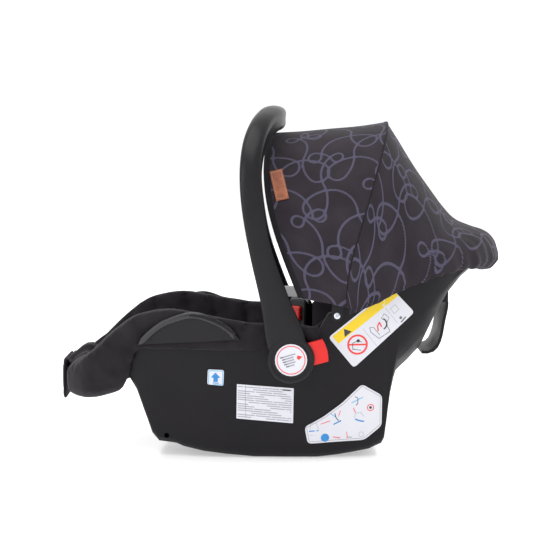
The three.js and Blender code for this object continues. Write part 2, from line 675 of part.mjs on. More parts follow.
function makeHandle() {
  let outer = handleChannel(1);
  for (const side of [left, right]) {
    const [y0, y1] = faceTo(side, handleInnerFace - 1, handleHubFace + 0.1);
    outer = outer.add(hubRod(hubRadius, handleInnerFace, handleHubFace, side, 30))
      .subtract(hubRod(hubRadius - 0.6, handleHubFace, capFace + 20, side, 30))
      .subtract(hubRod(lockRadius + pocketClearance, handleInnerFace - 5, lockOuter + 0.6,
        side, 26))
      .subtract(hubRod(boltRadius + 0.6, handleInnerFace - 5, capFace + 20, side, 20))
      .subtract(buttonBlock(lockRadius + 0.5, hubRadius + 20, buttonHalf + 0.5, y0, y1));
  }
  let inner = handleChannel(-1);
  for (const side of [left, right]) {
    inner = inner.subtract(hubRod(hubRadius + 1.5, handleInnerFace - 20, capFace + 20, side, 30));
  }
  return [shapeOf(outer), shapeOf(inner)];
}
const [handleOuter, handleInner] = makeHandle();
add('handle_outer', handleOuter, 'plastic');
add('handle_inner', handleInner, 'plastic');
for (const side of [left, right]) {
  const [y0, y1] = faceTo(side, handleInnerFace + 0.6, handleHubFace - 0.5);
  const button = buttonBlock(buttonRoot, buttonTip + 10, buttonHalf, y0, y1)
    .intersect(hubRod(buttonTip, handleInnerFace - 5, capFace + 5, side, 48));
  add(`release_button_${sideName(side)}`, shapeOf(button), 'red');
  const cap = hubRod(hubRadius - 1, capInner, capFace, side, 30)
    .subtract(hubRod(boltHead + 1, capInner - 1, handleHubFace + 3.2, side, 20));
  add(`hub_cap_${sideName(side)}`, shapeOf(cap), 'plastic');
  const [l0, l1] = faceTo(side, capFace + 0.2, capFace + 0.2 + labelThickness);
  add(`hub_label_${sideName(side)}`, crossRod(24.5, l0, l1, hubX, hubZ, 24), 'label');
}

// ---------------------------------------------------------------- sun canopy
const pivot = v3(along(canopyPivotX), 0, canopyPivotZ);
const ridgeAngle = THREE.MathUtils.degToRad(73);
const frontAngle = THREE.MathUtils.degToRad(112);
const frontReach = 278.5;
const canopyHalf = halfWidth + 12;
const radial = (angle) => v3(Math.cos(angle), 0, Math.sin(angle));
const archSquareness = 2.8;    // 2 is an ellipse, more is squarer
function archPoint(angle, width, reach, share, squareness = archSquareness) {
  const phi = share * Math.PI;
  const y = -Math.sign(Math.cos(phi)) * width * Math.abs(Math.cos(phi)) ** (2 / squareness);
  const r = reach * Math.sin(phi) ** (2 / squareness);
  return { y, r, point: pivot.clone().addScaledVector(radial(angle), r).setY(y) };
}
const frontBulge = 54;         // the front edge runs this far ahead of the plane of its pivot
function frontPoint(width, reach, share) {
  const { r, point } = archPoint(frontAngle, width, reach, share);
  const ahead = radial(frontAngle + Math.PI / 2);
  return point.addScaledVector(ahead, frontBulge * (1 - (r / reach) ** 4));
}
const canopyColumns = 16;
const columnShare = (i, start) => start + (1 - 2 * start) * (i / canopyColumns);
function frontEdge() {
  return Array.from({ length: canopyColumns + 1 }, (_, i) => frontPoint(canopyHalf, frontReach,
    columnShare(i, 0.0125)));
}
function ridgeEdge() {
  return Array.from({ length: canopyColumns + 1 }, (_, i) => {
    const { r, point } = archPoint(ridgeAngle, canopyHalf, canopyReach, columnShare(i, 0));
    const low = Math.max(0, 1 - (r + 10) / 90) ** 2;
    return point.add(v3(16 * low, 0, -10 * Math.max(0, 1 - r / 30)));
  });
}
// Rear hem, from the pivot round the head end: x, distance outside the widest half width, z.
const tailRows = [[101, 9, 239], [142, 7, 255], [172, 4, 271], [209, -3, 286], [250, -17, 298],
  [285, -43, 306], [315, -79, 311], [338, -126, 314]];
const tailTip = [353, 314];
function tailEdge() {
  const half = tailRows.map(([x, y, z]) => v3(along(x), -(halfWidth + y), z));
  const other = half.slice().reverse().map((p) => v3(p.x, -p.y, p.z));
  const route = new THREE.CatmullRomCurve3([...half, v3(along(tailTip[0]), 0, tailTip[1]),
    ...other], false, 'centripetal');
  return route.getSpacedPoints(canopyColumns);
}
// Middle line of the rear panel, seen from the side: ridge, hollow and flared tail.
const tailProfile = [[169, 526], [189, 493], [212, 459], [239, 421.5], [263, 389], [284, 368],
  [310, 356.5], [334, 348], [347, 333], tailTip];
const hemRows = [[0, 10], [12, 24], [31, 27]];   // how far the hem goes in and down, row by row
const canopyInside = v3(90, 0, 300);
const frontOuter = [];         // outer face of the front panel, kept for what is sewn on it
function canopyPanels() {
  const front = frontEdge();
  const ridge = ridgeEdge();
  const tail = tailEdge();
  const middle = canopyColumns / 2;
  const sagDepth = 3;
  const seamGap = 0.6;
  const frontRows = 5;
  const frontGrid = Array.from({ length: frontRows + 1 }, (_, s) => front.map((p, i) => {
    const share = s / frontRows;
    const point = p.clone().lerp(ridge[i], share);
    const sag = sagDepth * 4 * share * (1 - share);
    return point.addScaledVector(pivot.clone().sub(point).setY(-point.y * 0.3).normalize(), sag);
  }));
  const seamShift = ridge.map((p, i) => tail[i].clone().sub(p).setLength(seamGap));
  // The profile is drawn between its own ends, and laid between the ridge and the tail.
  const [[x0, z0], [x1, z1]] = [tailProfile[0], tailTip];
  const [top, end] = [ridge[middle], tail[middle]];
  const profile = new THREE.CatmullRomCurve3(tailProfile.map(([x, z]) => v3(
    top.x + (end.x - top.x) * (x - x0) / (x1 - x0), 0,
    top.z + (end.z - top.z) * (z - z0) / (z1 - z0))));
  const rearRows = 6;
  const rearGrid = Array.from({ length: rearRows + 1 }, (_, s) => ridge.map((p, i) => {
    const share = s / rearRows;
    const bend = profile.getPointAt(share)
      .sub(ridge[middle].clone().lerp(tail[middle], share));
    const weight = Math.sin((i / canopyColumns) * Math.PI) ** 2;
    return p.clone().add(seamShift[i]).lerp(tail[i], share).addScaledVector(bend, weight);
  }));
  for (const [inward, down] of hemRows) {
    rearGrid.push(tail.map((p, i) => {
      const weight = Math.sin((i / canopyColumns) * Math.PI) ** 6;
      const fall = down * (0.3 + 0.7 * weight);
      return p.clone().add(v3(-inward * weight, -p.y * 0.1 * weight * inward / 31, -fall));
    }));
  }
  // Both panels share the ridge, so both turn their edge straight in from it.
  const ridgePlane = radial(ridgeAngle + Math.PI / 2);
  const mitre = ridge.map((p, i) => {
    const tangent = ridge[Math.min(i + 1, canopyColumns)].clone().sub(ridge[Math.max(i - 1, 0)]);
    return tangent.cross(ridgePlane).normalize().negate();
  });
  mitre.forEach((direction, i) => {
    if (direction.dot(canopyInside.clone().sub(ridge[i])) < 0) direction.negate();
  });
  frontGrid.forEach((row) => frontOuter.push(row));
  const frontPanel = thickSheet(frontGrid, canopyThickness, canopyInside, frontRows, mitre);
  const rearPanel = thickSheet(rearGrid, canopyThickness, canopyInside, 0, mitre);
  return [frontPanel, shapeOf(solid(rearPanel).subtract(shellForm(clearance)))];
}
const [frontPanel, rearPanel] = canopyPanels();
add('canopy_front_panel', frontPanel, 'canopyFabric');
add('canopy_rear_panel', rearPanel, 'canopyFabric');

// Bows: flat strips that turn on a stud above the rim, one layer inside the other.
const bracketInner = halfWidth + 0.5;
const bracketThickness = 2.5;
const studRadius = 3;
const eyeRadius = 8;
const layer = (depth) => [halfWidth - depth, halfWidth - depth + bowThickness];
const frontLayer = layer(6);
const ridgeLayer = layer(11.5);
const frontBowInset = canopyThickness + 4.5;
const ridgeBowInset = canopyThickness + 10;
const bowSquareness = 2.7;
function bow(points, [eyeFrom, eyeTo]) {
  const across = points.map((p, i) => {
    const tangent = points[Math.min(i + 1, points.length - 1)].clone()
      .sub(points[Math.max(i - 1, 0)]);
    const outward = p.clone().sub(pivot);
    if (Math.abs(outward.x) + Math.abs(outward.z) < 60) outward.set(0, p.y, 0);
    return tangent.cross(outward).normalize();
  });
  let body = solid(ribbon(points, bowWidth, bowThickness, across));
  for (const side of [left, right]) {
    const [y0, y1] = faceTo(side, eyeFrom, eyeTo);
    body = body.add(solid(crossRod(eyeRadius, y0, y1, pivot.x, pivot.z, 12)));
  }
  for (const side of [left, right]) {
    const [y0, y1] = faceTo(side, eyeFrom - 5, eyeTo + 5);
    body = body.subtract(solid(crossRod(studRadius + 0.5, y0, y1, pivot.x, pivot.z, 12)));
  }
  return shapeOf(body);
}
const middleOf = ([a, b]) => (a + b) / 2;
function ridgeBowPoints() {
  const steps = 22;
  return Array.from({ length: steps + 1 }, (_, i) => archPoint(ridgeAngle,
    middleOf(ridgeLayer), canopyReach - ridgeBowInset, i / steps, bowSquareness).point);
}
function frontBowPoints() {
  const y = middleOf(frontLayer);
  const start = [[0, 0], [-22, 1], [-44, 9], [-59, 26]]
    .map(([dx, dz]) => v3(pivot.x + dx, -y, pivot.z + dz));
  const arch = Array.from({ length: 13 }, (_, i) => frontPoint(canopyHalf - frontBowInset - 4,
    frontReach - frontBowInset, 0.06 + 0.88 * (i / 12)).add(v3(7, 0, -1)));
  const end = start.slice().reverse().map((p) => v3(p.x, -p.y, p.z));
  return smooth([...start, ...arch, ...end], 30);
}
add('canopy_front_bow', bow(frontBowPoints(), frontLayer), 'plastic');
add('canopy_ridge_bow', bow(ridgeBowPoints(), ridgeLayer), 'plastic');

// Bracket on the rim: a plate outside the wall, held by a screw, with the stud for both bows.
function makeBracket() {
  const outer = bracketInner + bracketThickness;
  const [sx, sz] = [along(rimScrewX), rimScrewZ];
  const plateOutline = new THREE.Shape();
  plateOutline.absarc(sx, sz, 9, Math.PI, 2 * Math.PI);
  plateOutline.absarc(pivot.x, pivot.z, eyeRadius + 1, 0, Math.PI);
  plateOutline.closePath();
  return shapeOf(solid(sidePlate(plateOutline, -outer, -bracketInner))
    .add(solid(crossRod(studRadius, -outer + 1, -(ridgeLayer[0] - 1.5), pivot.x, pivot.z, 12)))
    .subtract(solid(crossRod(screwShank + 0.6, -outer - 2, -bracketInner + 1, sx, sz, 12))));
}
const bracket = makeBracket();
const rimScrew = shapeOf(solid(crossRod(5, -(bracketInner + bracketThickness + 2.6),
  -(bracketInner + bracketThickness + 0.3), along(rimScrewX), rimScrewZ, 20))
  .add(solid(crossRod(screwShank, -(bracketInner + bracketThickness + 1),
    -(halfWidth - 6), along(rimScrewX), rimScrewZ, 12))));
for (const side of [left, right]) {
  add(`canopy_bracket_${sideName(side)}`, onSide(bracket, side), 'plastic');
  add(`rim_screw_${sideName(side)}`, onSide(rimScrew, side), 'steel');
}

// ---------------------------------------------------------------- rear belt guide
const rearGuideHalf = 62;
const rearGuideThickness = 5;
function makeRearGuide() {
  const inner = [[262, 243], [266, 236], [261, 205], [255, 175], [247, 160], [236, 155], [226, 155]];
  const route = smooth(inner.map(([x, z]) => v3(along(x), 0, z)), 12);
  const plate = solid(ribbon(route, 2 * rearGuideHalf, rearGuideThickness,
    sameDirection(route, acrossSeat)));
  const root = solid(box(along(250), along(268), -rearGuideHalf, rearGuideHalf, 236, 256));
  return shapeOf(plate.add(root).subtract(shellForm(clearance)));
}
add('rear_belt_guide', makeRearGuide(), 'plastic');

// ---------------------------------------------------------------- canopy tag
// Small leather tag sewn flat near the canopy's front edge, on the left.
const tagWidth = 20;
const tagLength = 46;
const tagThickness = 1.4;
const tagStandOff = canopyHalf / 170;   // the wider the canopy, the more it bulges between the tag's rows
const tagCentre = v3(-5.5, 0, 427);
const tagTilt = THREE.MathUtils.degToRad(13);
function makeTag() {
  const down = v3(Math.sin(tagTilt), 0, -Math.cos(tagTilt));
  const wide = v3(Math.cos(tagTilt), 0, Math.sin(tagTilt));
  const rows = 6;
  const grid = Array.from({ length: rows + 1 }, (_, r) => [-0.5, -0.17, 0.17, 0.5].map((share) => {
    const p = tagCentre.clone().addScaledVector(down, tagLength * (r / rows - 0.5))
      .addScaledVector(wide, tagWidth * share);
    return p.setY(-(canopySide(p) + tagStandOff + tagThickness));
  }));
  return thickSheet(grid, tagThickness, v3(0, 0, 400));
}
// Half width of the front panel's outer face at a point seen from the side.
function canopySide(p) {
  const rows = frontOuter.length - 1;
  let best = [Infinity, 0];
  for (let r = 0; r < rows; r++) {
    for (let c = 0; c < canopyColumns / 2; c++) {
      for (const [i, j, k] of [[[r, c], [r + 1, c], [r, c + 1]],
        [[r + 1, c], [r + 1, c + 1], [r, c + 1]]]) {
        const [a, b, d] = [i, j, k].map(([m, n]) => frontOuter[m][n]);
        const area = (b.x - a.x) * (d.z - a.z) - (d.x - a.x) * (b.z - a.z);
        const u = ((p.x - a.x) * (d.z - a.z) - (d.x - a.x) * (p.z - a.z)) / area;
        const w = ((b.x - a.x) * (p.z - a.z) - (p.x - a.x) * (b.z - a.z)) / area;
        const outside = Math.max(-u, -w, u + w - 1, 0);
        const y = a.y + u * (b.y - a.y) + w * (d.y - a.y);
        if (outside < best[0]) best = [outside, -y];
      }
    }
  }
  return best[1];
}
add('canopy_tag', makeTag(), 'leather');

// ---------------------------------------------------------------- head ring
// Horseshoe bolster that lies on the inlay cushion round the child's head.
const headRingX = 205;         // station of its middle on the backrest
const headRingHalf = 72;
const headRingRise = 26;
const headRingDepth = 30;
function makeHeadRing() {
  const slopeUp = v3(1, 0, slope(bucketStations, 1, headRingX)).normalize();
  const away = slopeUp.clone().cross(v3(0, 1, 0)).normalize();
  if (away.z < 0) away.negate();
  const surface = coverThickness + padThickness + 3 * clearance + headRingRise / 2;
  const centre = v3(along(headRingX), 0, bucketFloor(headRingX)).addScaledVector(away, surface + 3);
  const steps = 18;
  const route = Array.from({ length: steps + 1 }, (_, i) => {
    const angle = Math.PI * (i / steps);
    const y = -headRingHalf * Math.cos(angle);
    return centre.clone().add(v3(0, y, 0)).addScaledVector(slopeUp, 44 * Math.sin(angle) - 8);
  });
  const rings = route.map((p, i) => {
    const tangent = route[Math.min(i + 1, steps)].clone().sub(route[Math.max(i - 1, 0)]).normalize();
    const side = tangent.clone().cross(away).normalize();
    const end = Math.min(1, 0.45 + 0.2 * Math.min(i, steps - i));
    return Array.from({ length: 10 }, (_, k) => {
      const angle = (k / 10) * 2 * Math.PI;
      return p.clone().addScaledVector(side, end * headRingDepth / 2 * Math.cos(angle))
        .addScaledVector(away, end * headRingRise / 2 * Math.sin(angle));
    });
  });
  return loft(rings);
}
add('head_ring', makeHeadRing(), 'fabric');

// ---------------------------------------------------------------- harness
// Buckle on the crotch strap, turned a little about its strap; a red button on its face.
const buckleTurn = THREE.MathUtils.degToRad(38);
const buckleX = 31;
const buckleZ = 209;
const buckleDepth = 18;
const buckleWidth = 44;
const buckleHeight = 54;
const buckleButtonTravel = 3.5;
const buckleButtonWidth = 27;
const buckleButtonHeight = 24;
const buckleButtonProud = 5;
const buckle = new THREE.Group();
buckle.position.set(along(buckleX), 0, buckleZ);
buckle.rotation.z = buckleTurn;
carSeat.add(buckle);
const buttonZ = 4;
const buttonDepth = buckleButtonTravel + buckleButtonProud + 1;
const buttonRecess = solid(softBlock(buckleDepth, buckleButtonWidth + 1, buckleButtonHeight + 1, 4, 0.5)
  .translate(buttonDepth - buckleButtonProud + buckleButtonTravel + 0.5 - buckleDepth, 0, buttonZ));
const tongueSpread = 11;
const strapSpread = webbingWidth / 2 + 2;
const tongueWidth = 20;
const tongueSlot = (side) => solid(box(-2.2, 2.2, side * tongueSpread - tongueWidth / 2 - 0.5,
  side * tongueSpread + tongueWidth / 2 + 0.5, buckleHeight / 2 - 14, buckleHeight / 2 + 5));
const buckleBody = solid(softBlock(buckleDepth, buckleWidth, buckleHeight, 9, 2))
  .subtract(buttonRecess).subtract(tongueSlot(left)).subtract(tongueSlot(right));
add('buckle_body', shapeOf(buckleBody), 'plastic', buckle);
add('buckle_button', softBlock(buttonDepth, buckleButtonWidth, buckleButtonHeight, 3.5)
  .translate(-buckleDepth / 2 - buckleButtonProud + buttonDepth / 2, 0, buttonZ), 'red', buckle);
const tongueLift = buckleHeight / 2 + 0.5;
function tongue(side) {
  const y = side * tongueSpread;
  const blade = box(-1.7, 1.7, y - tongueWidth / 2, y + tongueWidth / 2, tongueLift - 12,
    tongueLift + 2);
  const grip = softBlock(9, webbingWidth + 2, 18, 5).translate(0, side * strapSpread,
    tongueLift + 10);
  return shapeOf(solid(blade).add(solid(grip)));
}
add('buckle_tongue_left', tongue(left), 'grey', buckle);
add('buckle_tongue_right', tongue(right), 'grey', buckle);

// Straps.
const turned = (angle) => v3(-Math.sin(angle), Math.cos(angle), 0);
const crotchTop = buckleZ - buckleHeight / 2 - 4;
function crotchRoute() {
  return smooth([v3(along(crotchX), 0, crotchFloor - 8), v3(along(crotchX) + 1, 0, 90),
    v3(along(crotchX) + 6, 0, 125), v3(along(crotchX) + 13, 0, 155),
    v3(along(buckleX), 0, crotchTop)], 10);
}
const crotchPoints = crotchRoute();
const crotchTurn = crotchPoints.map((_, i) => turned(buckleTurn * (i / 10) ** 2));
const crotchStrap = ribbon(crotchPoints, webbingWidth, webbingThickness, crotchTurn);
add('crotch_strap', crotchStrap, 'webbing');
const sleeveWidth = 50;
const sleeveThickness = 15;
function sleeve(points, directions, from, to) {
  const piece = (first, last, width, thickness) => solid(ribbon(points.slice(first, last + 1),
    width, thickness, directions.slice(first, last + 1)));
  return piece(from, to, sleeveWidth, sleeveThickness)
    .subtract(piece(from - 1, to + 1, webbingWidth + 3, webbingThickness + 2.4));
}
add('crotch_pad', shapeOf(sleeve(crotchPoints, crotchTurn, 4, 8)), 'fabric');

const buckleTop = v3(along(buckleX), 0, buckleZ + tongueLift + 21);
function shoulderRoute(side) {
  const slot = [-13, 0, slotReach].map((h) => backPoint(h, side * shoulderSpread));
  const tongueSpot = turned(buckleTurn).multiplyScalar(side * strapSpread).add(buckleTop);
  const middle = slot[2].clone().lerp(tongueSpot, 0.45).add(v3(0, 0, 16));
  middle.y = side * (shoulderSpread - 6);
  const near = tongueSpot.clone().add(v3(24, side * 4, 5));
  return smooth([...slot, middle, near, tongueSpot.add(v3(5, 0, 2.5))], 16);
}
for (const side of [left, right]) {
  const points = shoulderRoute(side);
  const across = points.map((_, i) => turned(buckleTurn * Math.max(0, (i - 10) / 6) ** 2));
  add(`shoulder_strap_${sideName(side)}`, ribbon(points, webbingWidth, webbingThickness, across),
    'webbing');
  add(`shoulder_pad_${sideName(side)}`, shapeOf(sleeve(points, across, 6, 11)), 'fabric');
}

// Hidden in the hollow: the steel yoke that joins both straps, the crotch anchor, and the
// single strap that runs under the bucket to the adjuster at the foot end.
const yokePoint = backPoint(-18, 0);
const backSlopeAngle = Math.atan(slope(bucketStations, 1, slotX));
add('harness_yoke', softBlock(3, 2 * shoulderSpread + webbingWidth, 16, 3, 0.6)
  .rotateY(Math.PI / 2 - backSlopeAngle).translate(yokePoint.x, 0, yokePoint.z), 'steel');
add('crotch_anchor', crossRod(2.5, -30, 30, along(crotchX), crotchFloor - 12, 12), 'steel');
const adjusterX = -262;
const adjusterHalf = 15;       // half its length, along the strap
const adjusterZ = bucketFloor(adjusterX) + coverThickness + 8.2;
const adjusterStrapRoute = [[186, 168], [130, 122], [90, 88], [50, 60], [crotchX, 43], [-30, 48],
  [-80, 56], [-140, 72], [-190, 90], [-210, 104], [adjusterSlotX, adjusterZ - 23]];
function adjusterStrap() {
  const points = smooth([...adjusterStrapRoute.map(([x, z]) => v3(along(x), 0, z)),
    v3(along(adjusterX) + 2 * adjusterHalf, 0, adjusterZ - 6),
    v3(along(adjusterX) + adjusterHalf + 2, 0, adjusterZ - 2)], 26);
  return ribbon(points, webbingWidth, webbingThickness, sameDirection(points, acrossSeat));
}
add('adjuster_strap', adjusterStrap(), 'webbing');
const adjusterTravel = 3;
const adjusterBody = solid(softBlock(13, 50, 2 * adjusterHalf, 5).rotateY(Math.PI / 2))
  .subtract(solid(box(-9, 9, -12, 12, 1, 12)));
add('adjuster_body', shapeOf(adjusterBody.translate([along(adjusterX), 0, adjusterZ])), 'plastic');
add('adjuster_button', softBlock(7, 22, 16, 3, 1).rotateY(Math.PI / 2)
  .translate(along(adjusterX), 0, adjusterZ + 8), 'red');
const lipFace = along(footStation) - coverThickness;
const overLip = (x, rise) => v3(along(x), 0, rimHeight(x) + coverThickness + rise);
function adjusterTail() {
  const tailStart = along(adjusterX) - adjusterHalf - 2;
  const points = smooth([v3(tailStart, 0, adjusterZ + 1), v3(tailStart - 17, 0, adjusterZ + 7),
    overLip(-310, 1.5), overLip(-322, 10.4), overLip(-335, 13.4),
    v3(lipFace + 0.2, 0, rimHeight(footStation) + 14.5), v3(lipFace - 1.9, 0, 126),
    v3(lipFace - 1.9, 0, 92)], 14);
  return ribbon(points, webbingWidth, webbingThickness, sameDirection(points, acrossSeat));
}
add('adjuster_tail', adjusterTail(), 'webbing');

// Fabric flap that hangs over the strap at the very front.
const flapX = lipFace - 3.4;
const flapTop = 146;
const flapBottom = 79;
const flapHalf = 60;
function makeFlap() {
  const outline = roundedOutline(2 * flapHalf, flapTop - flapBottom, 12);
  return new THREE.ExtrudeGeometry(outline, { depth: 3.6, bevelEnabled: false, curveSegments: 4 })
    .rotateY(-Math.PI / 2).rotateX(Math.PI / 2)
    .translate(flapX, 0, (flapTop + flapBottom) / 2);
}
add('foot_flap', makeFlap(), 'fabric');

export default carSeat;
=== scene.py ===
# Infant car seat: a rocking plastic shell with a padded cover, a carry handle, a folding canopy
# and a harness. Lengths below are in millimetres, turned to metres by MM when a mesh is made.
import json
import math
import bmesh
import bpy
import numpy as np
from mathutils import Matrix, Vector
from mathutils.bvhtree import BVHTree
from mathutils.kdtree import KDTree


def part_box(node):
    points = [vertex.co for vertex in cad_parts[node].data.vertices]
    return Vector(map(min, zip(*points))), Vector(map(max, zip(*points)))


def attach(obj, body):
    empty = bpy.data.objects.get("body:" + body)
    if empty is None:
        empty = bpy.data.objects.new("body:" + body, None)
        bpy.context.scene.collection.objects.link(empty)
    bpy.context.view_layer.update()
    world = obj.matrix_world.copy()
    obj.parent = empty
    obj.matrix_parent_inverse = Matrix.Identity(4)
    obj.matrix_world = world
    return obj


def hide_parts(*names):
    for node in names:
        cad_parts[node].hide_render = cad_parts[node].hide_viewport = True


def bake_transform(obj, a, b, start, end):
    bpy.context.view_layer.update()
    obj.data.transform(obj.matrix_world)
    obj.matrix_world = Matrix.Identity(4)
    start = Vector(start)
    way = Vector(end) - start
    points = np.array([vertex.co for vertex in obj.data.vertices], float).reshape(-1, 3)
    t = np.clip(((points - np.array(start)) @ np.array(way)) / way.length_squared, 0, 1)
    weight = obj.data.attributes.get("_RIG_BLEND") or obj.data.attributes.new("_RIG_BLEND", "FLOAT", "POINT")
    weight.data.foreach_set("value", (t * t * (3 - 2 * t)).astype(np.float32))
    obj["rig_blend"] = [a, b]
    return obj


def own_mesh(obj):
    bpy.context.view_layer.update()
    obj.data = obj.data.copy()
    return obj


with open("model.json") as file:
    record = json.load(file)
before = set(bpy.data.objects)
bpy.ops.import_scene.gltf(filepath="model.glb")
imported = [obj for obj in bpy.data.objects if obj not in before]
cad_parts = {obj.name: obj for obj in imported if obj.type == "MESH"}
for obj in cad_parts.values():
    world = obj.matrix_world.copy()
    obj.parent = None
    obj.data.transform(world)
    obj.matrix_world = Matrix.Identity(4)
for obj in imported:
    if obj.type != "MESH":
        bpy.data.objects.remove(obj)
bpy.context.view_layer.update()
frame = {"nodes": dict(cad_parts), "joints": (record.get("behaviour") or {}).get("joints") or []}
scene = bpy.context.scene
MM = 0.001
sides = (("left", -1), ("right", 1))

# ------------------------------------------------------------------ camera, floor and light
# A product table: a pale satin sheet under large soft boxes, seen from the seat's left side,
# a little above its middle.
camera_data = bpy.data.cameras.new("camera")
camera_data.lens = 107.8
camera_data.sensor_width = 36
camera_data.clip_end = 50
camera = bpy.data.objects.new("camera", camera_data)
camera.location = (-0.0317, -2.75, 0.4802)
camera.rotation_euler = (math.radians(90 - 4.43), 0, math.radians(-0.61))
scene.collection.objects.link(camera)
scene.camera = camera
scene.view_settings.view_transform = "Standard"


def linear(hex_colour):
    """sRGB hex to the linear colour that a shader socket takes."""
    channels = [int(hex_colour[i:i + 2], 16) / 255 for i in (1, 3, 5)]
    return [c / 12.92 if c <= 0.04045 else ((c + 0.055) / 1.055) ** 2.4 for c in channels] + [1.0]


def put(tree, kind, inputs=None, **settings):
    """Adds a node with its settings; an input is a value or the socket that feeds it."""
    made = tree.nodes.new(kind)
    for name, value in settings.items():
        setattr(made, name, value)
    for key, value in (inputs or {}).items():
        if isinstance(value, bpy.types.NodeSocket):
            tree.links.new(value, made.inputs[key])
        else:
            made.inputs[key].default_value = value
    return made


def object_place(tree):
    """Places on the piece in its own frame, in metres."""
    return put(tree, "ShaderNodeTexCoord").outputs["Object"]


def noise(tree, place, size_mm, detail=2.0):
    return put(tree, "ShaderNodeTexNoise", {"Vector": place, "Scale": 1 / (size_mm * MM),
               "Detail": detail}).outputs["Fac"]


def voronoi(tree, place, size_mm, **settings):
    return put(tree, "ShaderNodeTexVoronoi", {"Vector": place, "Scale": 1 / (size_mm * MM)},
               **settings).outputs["Distance"]


def maths(tree, operation, *values):
    return put(tree, "ShaderNodeMath", dict(enumerate(values)),
               operation=operation).outputs["Value"]


def remap(tree, value, to_low, to_high, from_low=0.0, from_high=1.0):
    return put(tree, "ShaderNodeMapRange", {"Value": value, "From Min": from_low,
               "From Max": from_high, "To Min": to_low, "To Max": to_high}).outputs["Result"]


def bump(tree, height, strength, depth_mm, under=None):
    """A bump of the given depth, laid on another one if there is one under it."""
    sockets = {"Strength": strength, "Distance": depth_mm * MM, "Height": height}
    if under is not None:
        sockets["Normal"] = under
    return put(tree, "ShaderNodeBump", sockets).outputs["Normal"]


def two_tone(tree, fac, dark, light, low=0.3, high=0.7):
    """Runs from the dark colour at low to the light one at high."""
    ramp = put(tree, "ShaderNodeValToRGB", {"Fac": fac})
    for stop, at, colour in zip(ramp.color_ramp.elements, (low, high), (dark, light)):
        stop.position, stop.color = at, colour
    return ramp.outputs["Color"]


def toned(hex_colour, share):
    """A colour made darker or lighter by a share of its linear value."""
    return [min(c * share, 1.0) for c in linear(hex_colour)[:3]] + [1.0]


def new_material(name):
    """An empty node material and the tree that its shader goes into."""
    material = bpy.data.materials.new(name)
    material.use_nodes = True
    material.node_tree.nodes.clear()
    return material, material.node_tree


def shade(tree, **sockets):
    """Principled shader with the given sockets, joined to the output."""
    names = {name.replace("_", " ").title().replace("Ior", "IOR"): value
             for name, value in sockets.items()}
    shader = put(tree, "ShaderNodeBsdfPrincipled", names)
    put(tree, "ShaderNodeOutputMaterial", {"Surface": shader.outputs["BSDF"]})
    return shader


def plain_mesh(name, points, faces, material, smooth=True):
    """Object from points in millimetres."""
    mesh = bpy.data.meshes.new(name)
    mesh.from_pydata([tuple(c * MM for c in p) for p in points], [], faces)
    mesh.polygons.foreach_set("use_smooth", [smooth] * len(mesh.polygons))
    mesh.materials.append(material)
    piece = bpy.data.objects.new(name, mesh)
    scene.collection.objects.link(piece)
    return piece


# Satin acrylic sheet: near white, with a faint blurred reflection.
floor_sheet, tree = new_material("satin_white_acrylic_sheet")
shade(tree, base_color=linear("#fbfbfc"), roughness=0.16, specular_ior_level=0.6,
      emission_color=linear("#ffffff"), emission_strength=0.42)
floor = plain_mesh("floor", [(-6000, -6000, 0), (6000, -6000, 0), (6000, 6000, 0),
                             (-6000, 6000, 0)], [(0, 1, 2, 3)], floor_sheet)

world = bpy.data.worlds.new("white_room")
scene.world = world
world.use_nodes = True
world.node_tree.nodes["Background"].inputs["Color"].default_value = linear("#ffffff")
world.node_tree.nodes["Background"].inputs["Strength"].default_value = 1.06


def soft_box(name, place, target, size, power):
    data = bpy.data.lights.new(name, "AREA")
    data.shape = "RECTANGLE"
    data.size, data.size_y = size
    data.energy = power
    light = bpy.data.objects.new(name, data)
    light.location = place
    aim = Vector(target) - Vector(place)
    light.rotation_euler = aim.to_track_quat("-Z", "Y").to_euler()
    scene.collection.objects.link(light)


soft_box("top_box", (-0.6, -0.6, 2.4), (0, 0, 0.2), (2.2, 1.6), 26)
soft_box("left_box", (-2.3, -1.6, 1.1), (0, 0, 0.25), (1.2, 1.6), 13)
soft_box("right_box", (2.2, 1.2, 1.4), (0, 0, 0.3), (1.2, 1.6), 9)


# ------------------------------------------------------------------ shell and its plastic fittings
# Injection-moulded polypropylene in black. The tool was spark eroded, which leaves a fine matt
# grain; broad faces look soft and satin.
def moulded_plastic(name, colour, roughness, grain_mm=0.7, grain=0.25, shine=0.5, crease=False):
    """Fine moulded grain over a faint mottle of the gloss."""
    material, tree = new_material(name)
    place = object_place(tree)
    mottle = noise(tree, place, 45, 3.0)
    gloss = remap(tree, mottle, roughness - 0.05, roughness + 0.05, 0.3, 0.7)
    normal = bump(tree, noise(tree, place, grain_mm), grain, 0.12)
    if crease:
        # The side wall bends a little along a slanting line under the belt guide.
        split = put(tree, "ShaderNodeSeparateXYZ", {"Vector": place})
        slope = maths(tree, "MULTIPLY_ADD", split.outputs["Z"], 0.825,
                      maths(tree, "MULTIPLY", split.outputs["X"], 0.565))
        bent = maths(tree, "SMOOTH_MAX", maths(tree, "SUBTRACT", slope, 0.0043), 0.0, 0.006)
        normal = bump(tree, maths(tree, "MULTIPLY", bent, 0.10), 1.0, 1 / MM, normal)
    shade(tree, base_color=two_tone(tree, mottle, toned(colour, 0.88), toned(colour, 1.14)),
          roughness=gloss, ior=1.49, specular_ior_level=shine, normal=normal)
    return material


shell_plastic = moulded_plastic("moulded_black_polypropylene", "#171518", 0.5, shine=0.15,
                                crease=True)
fitting_plastic = moulded_plastic("black_polypropylene_fittings", "#161417", 0.4, shine=0.22)


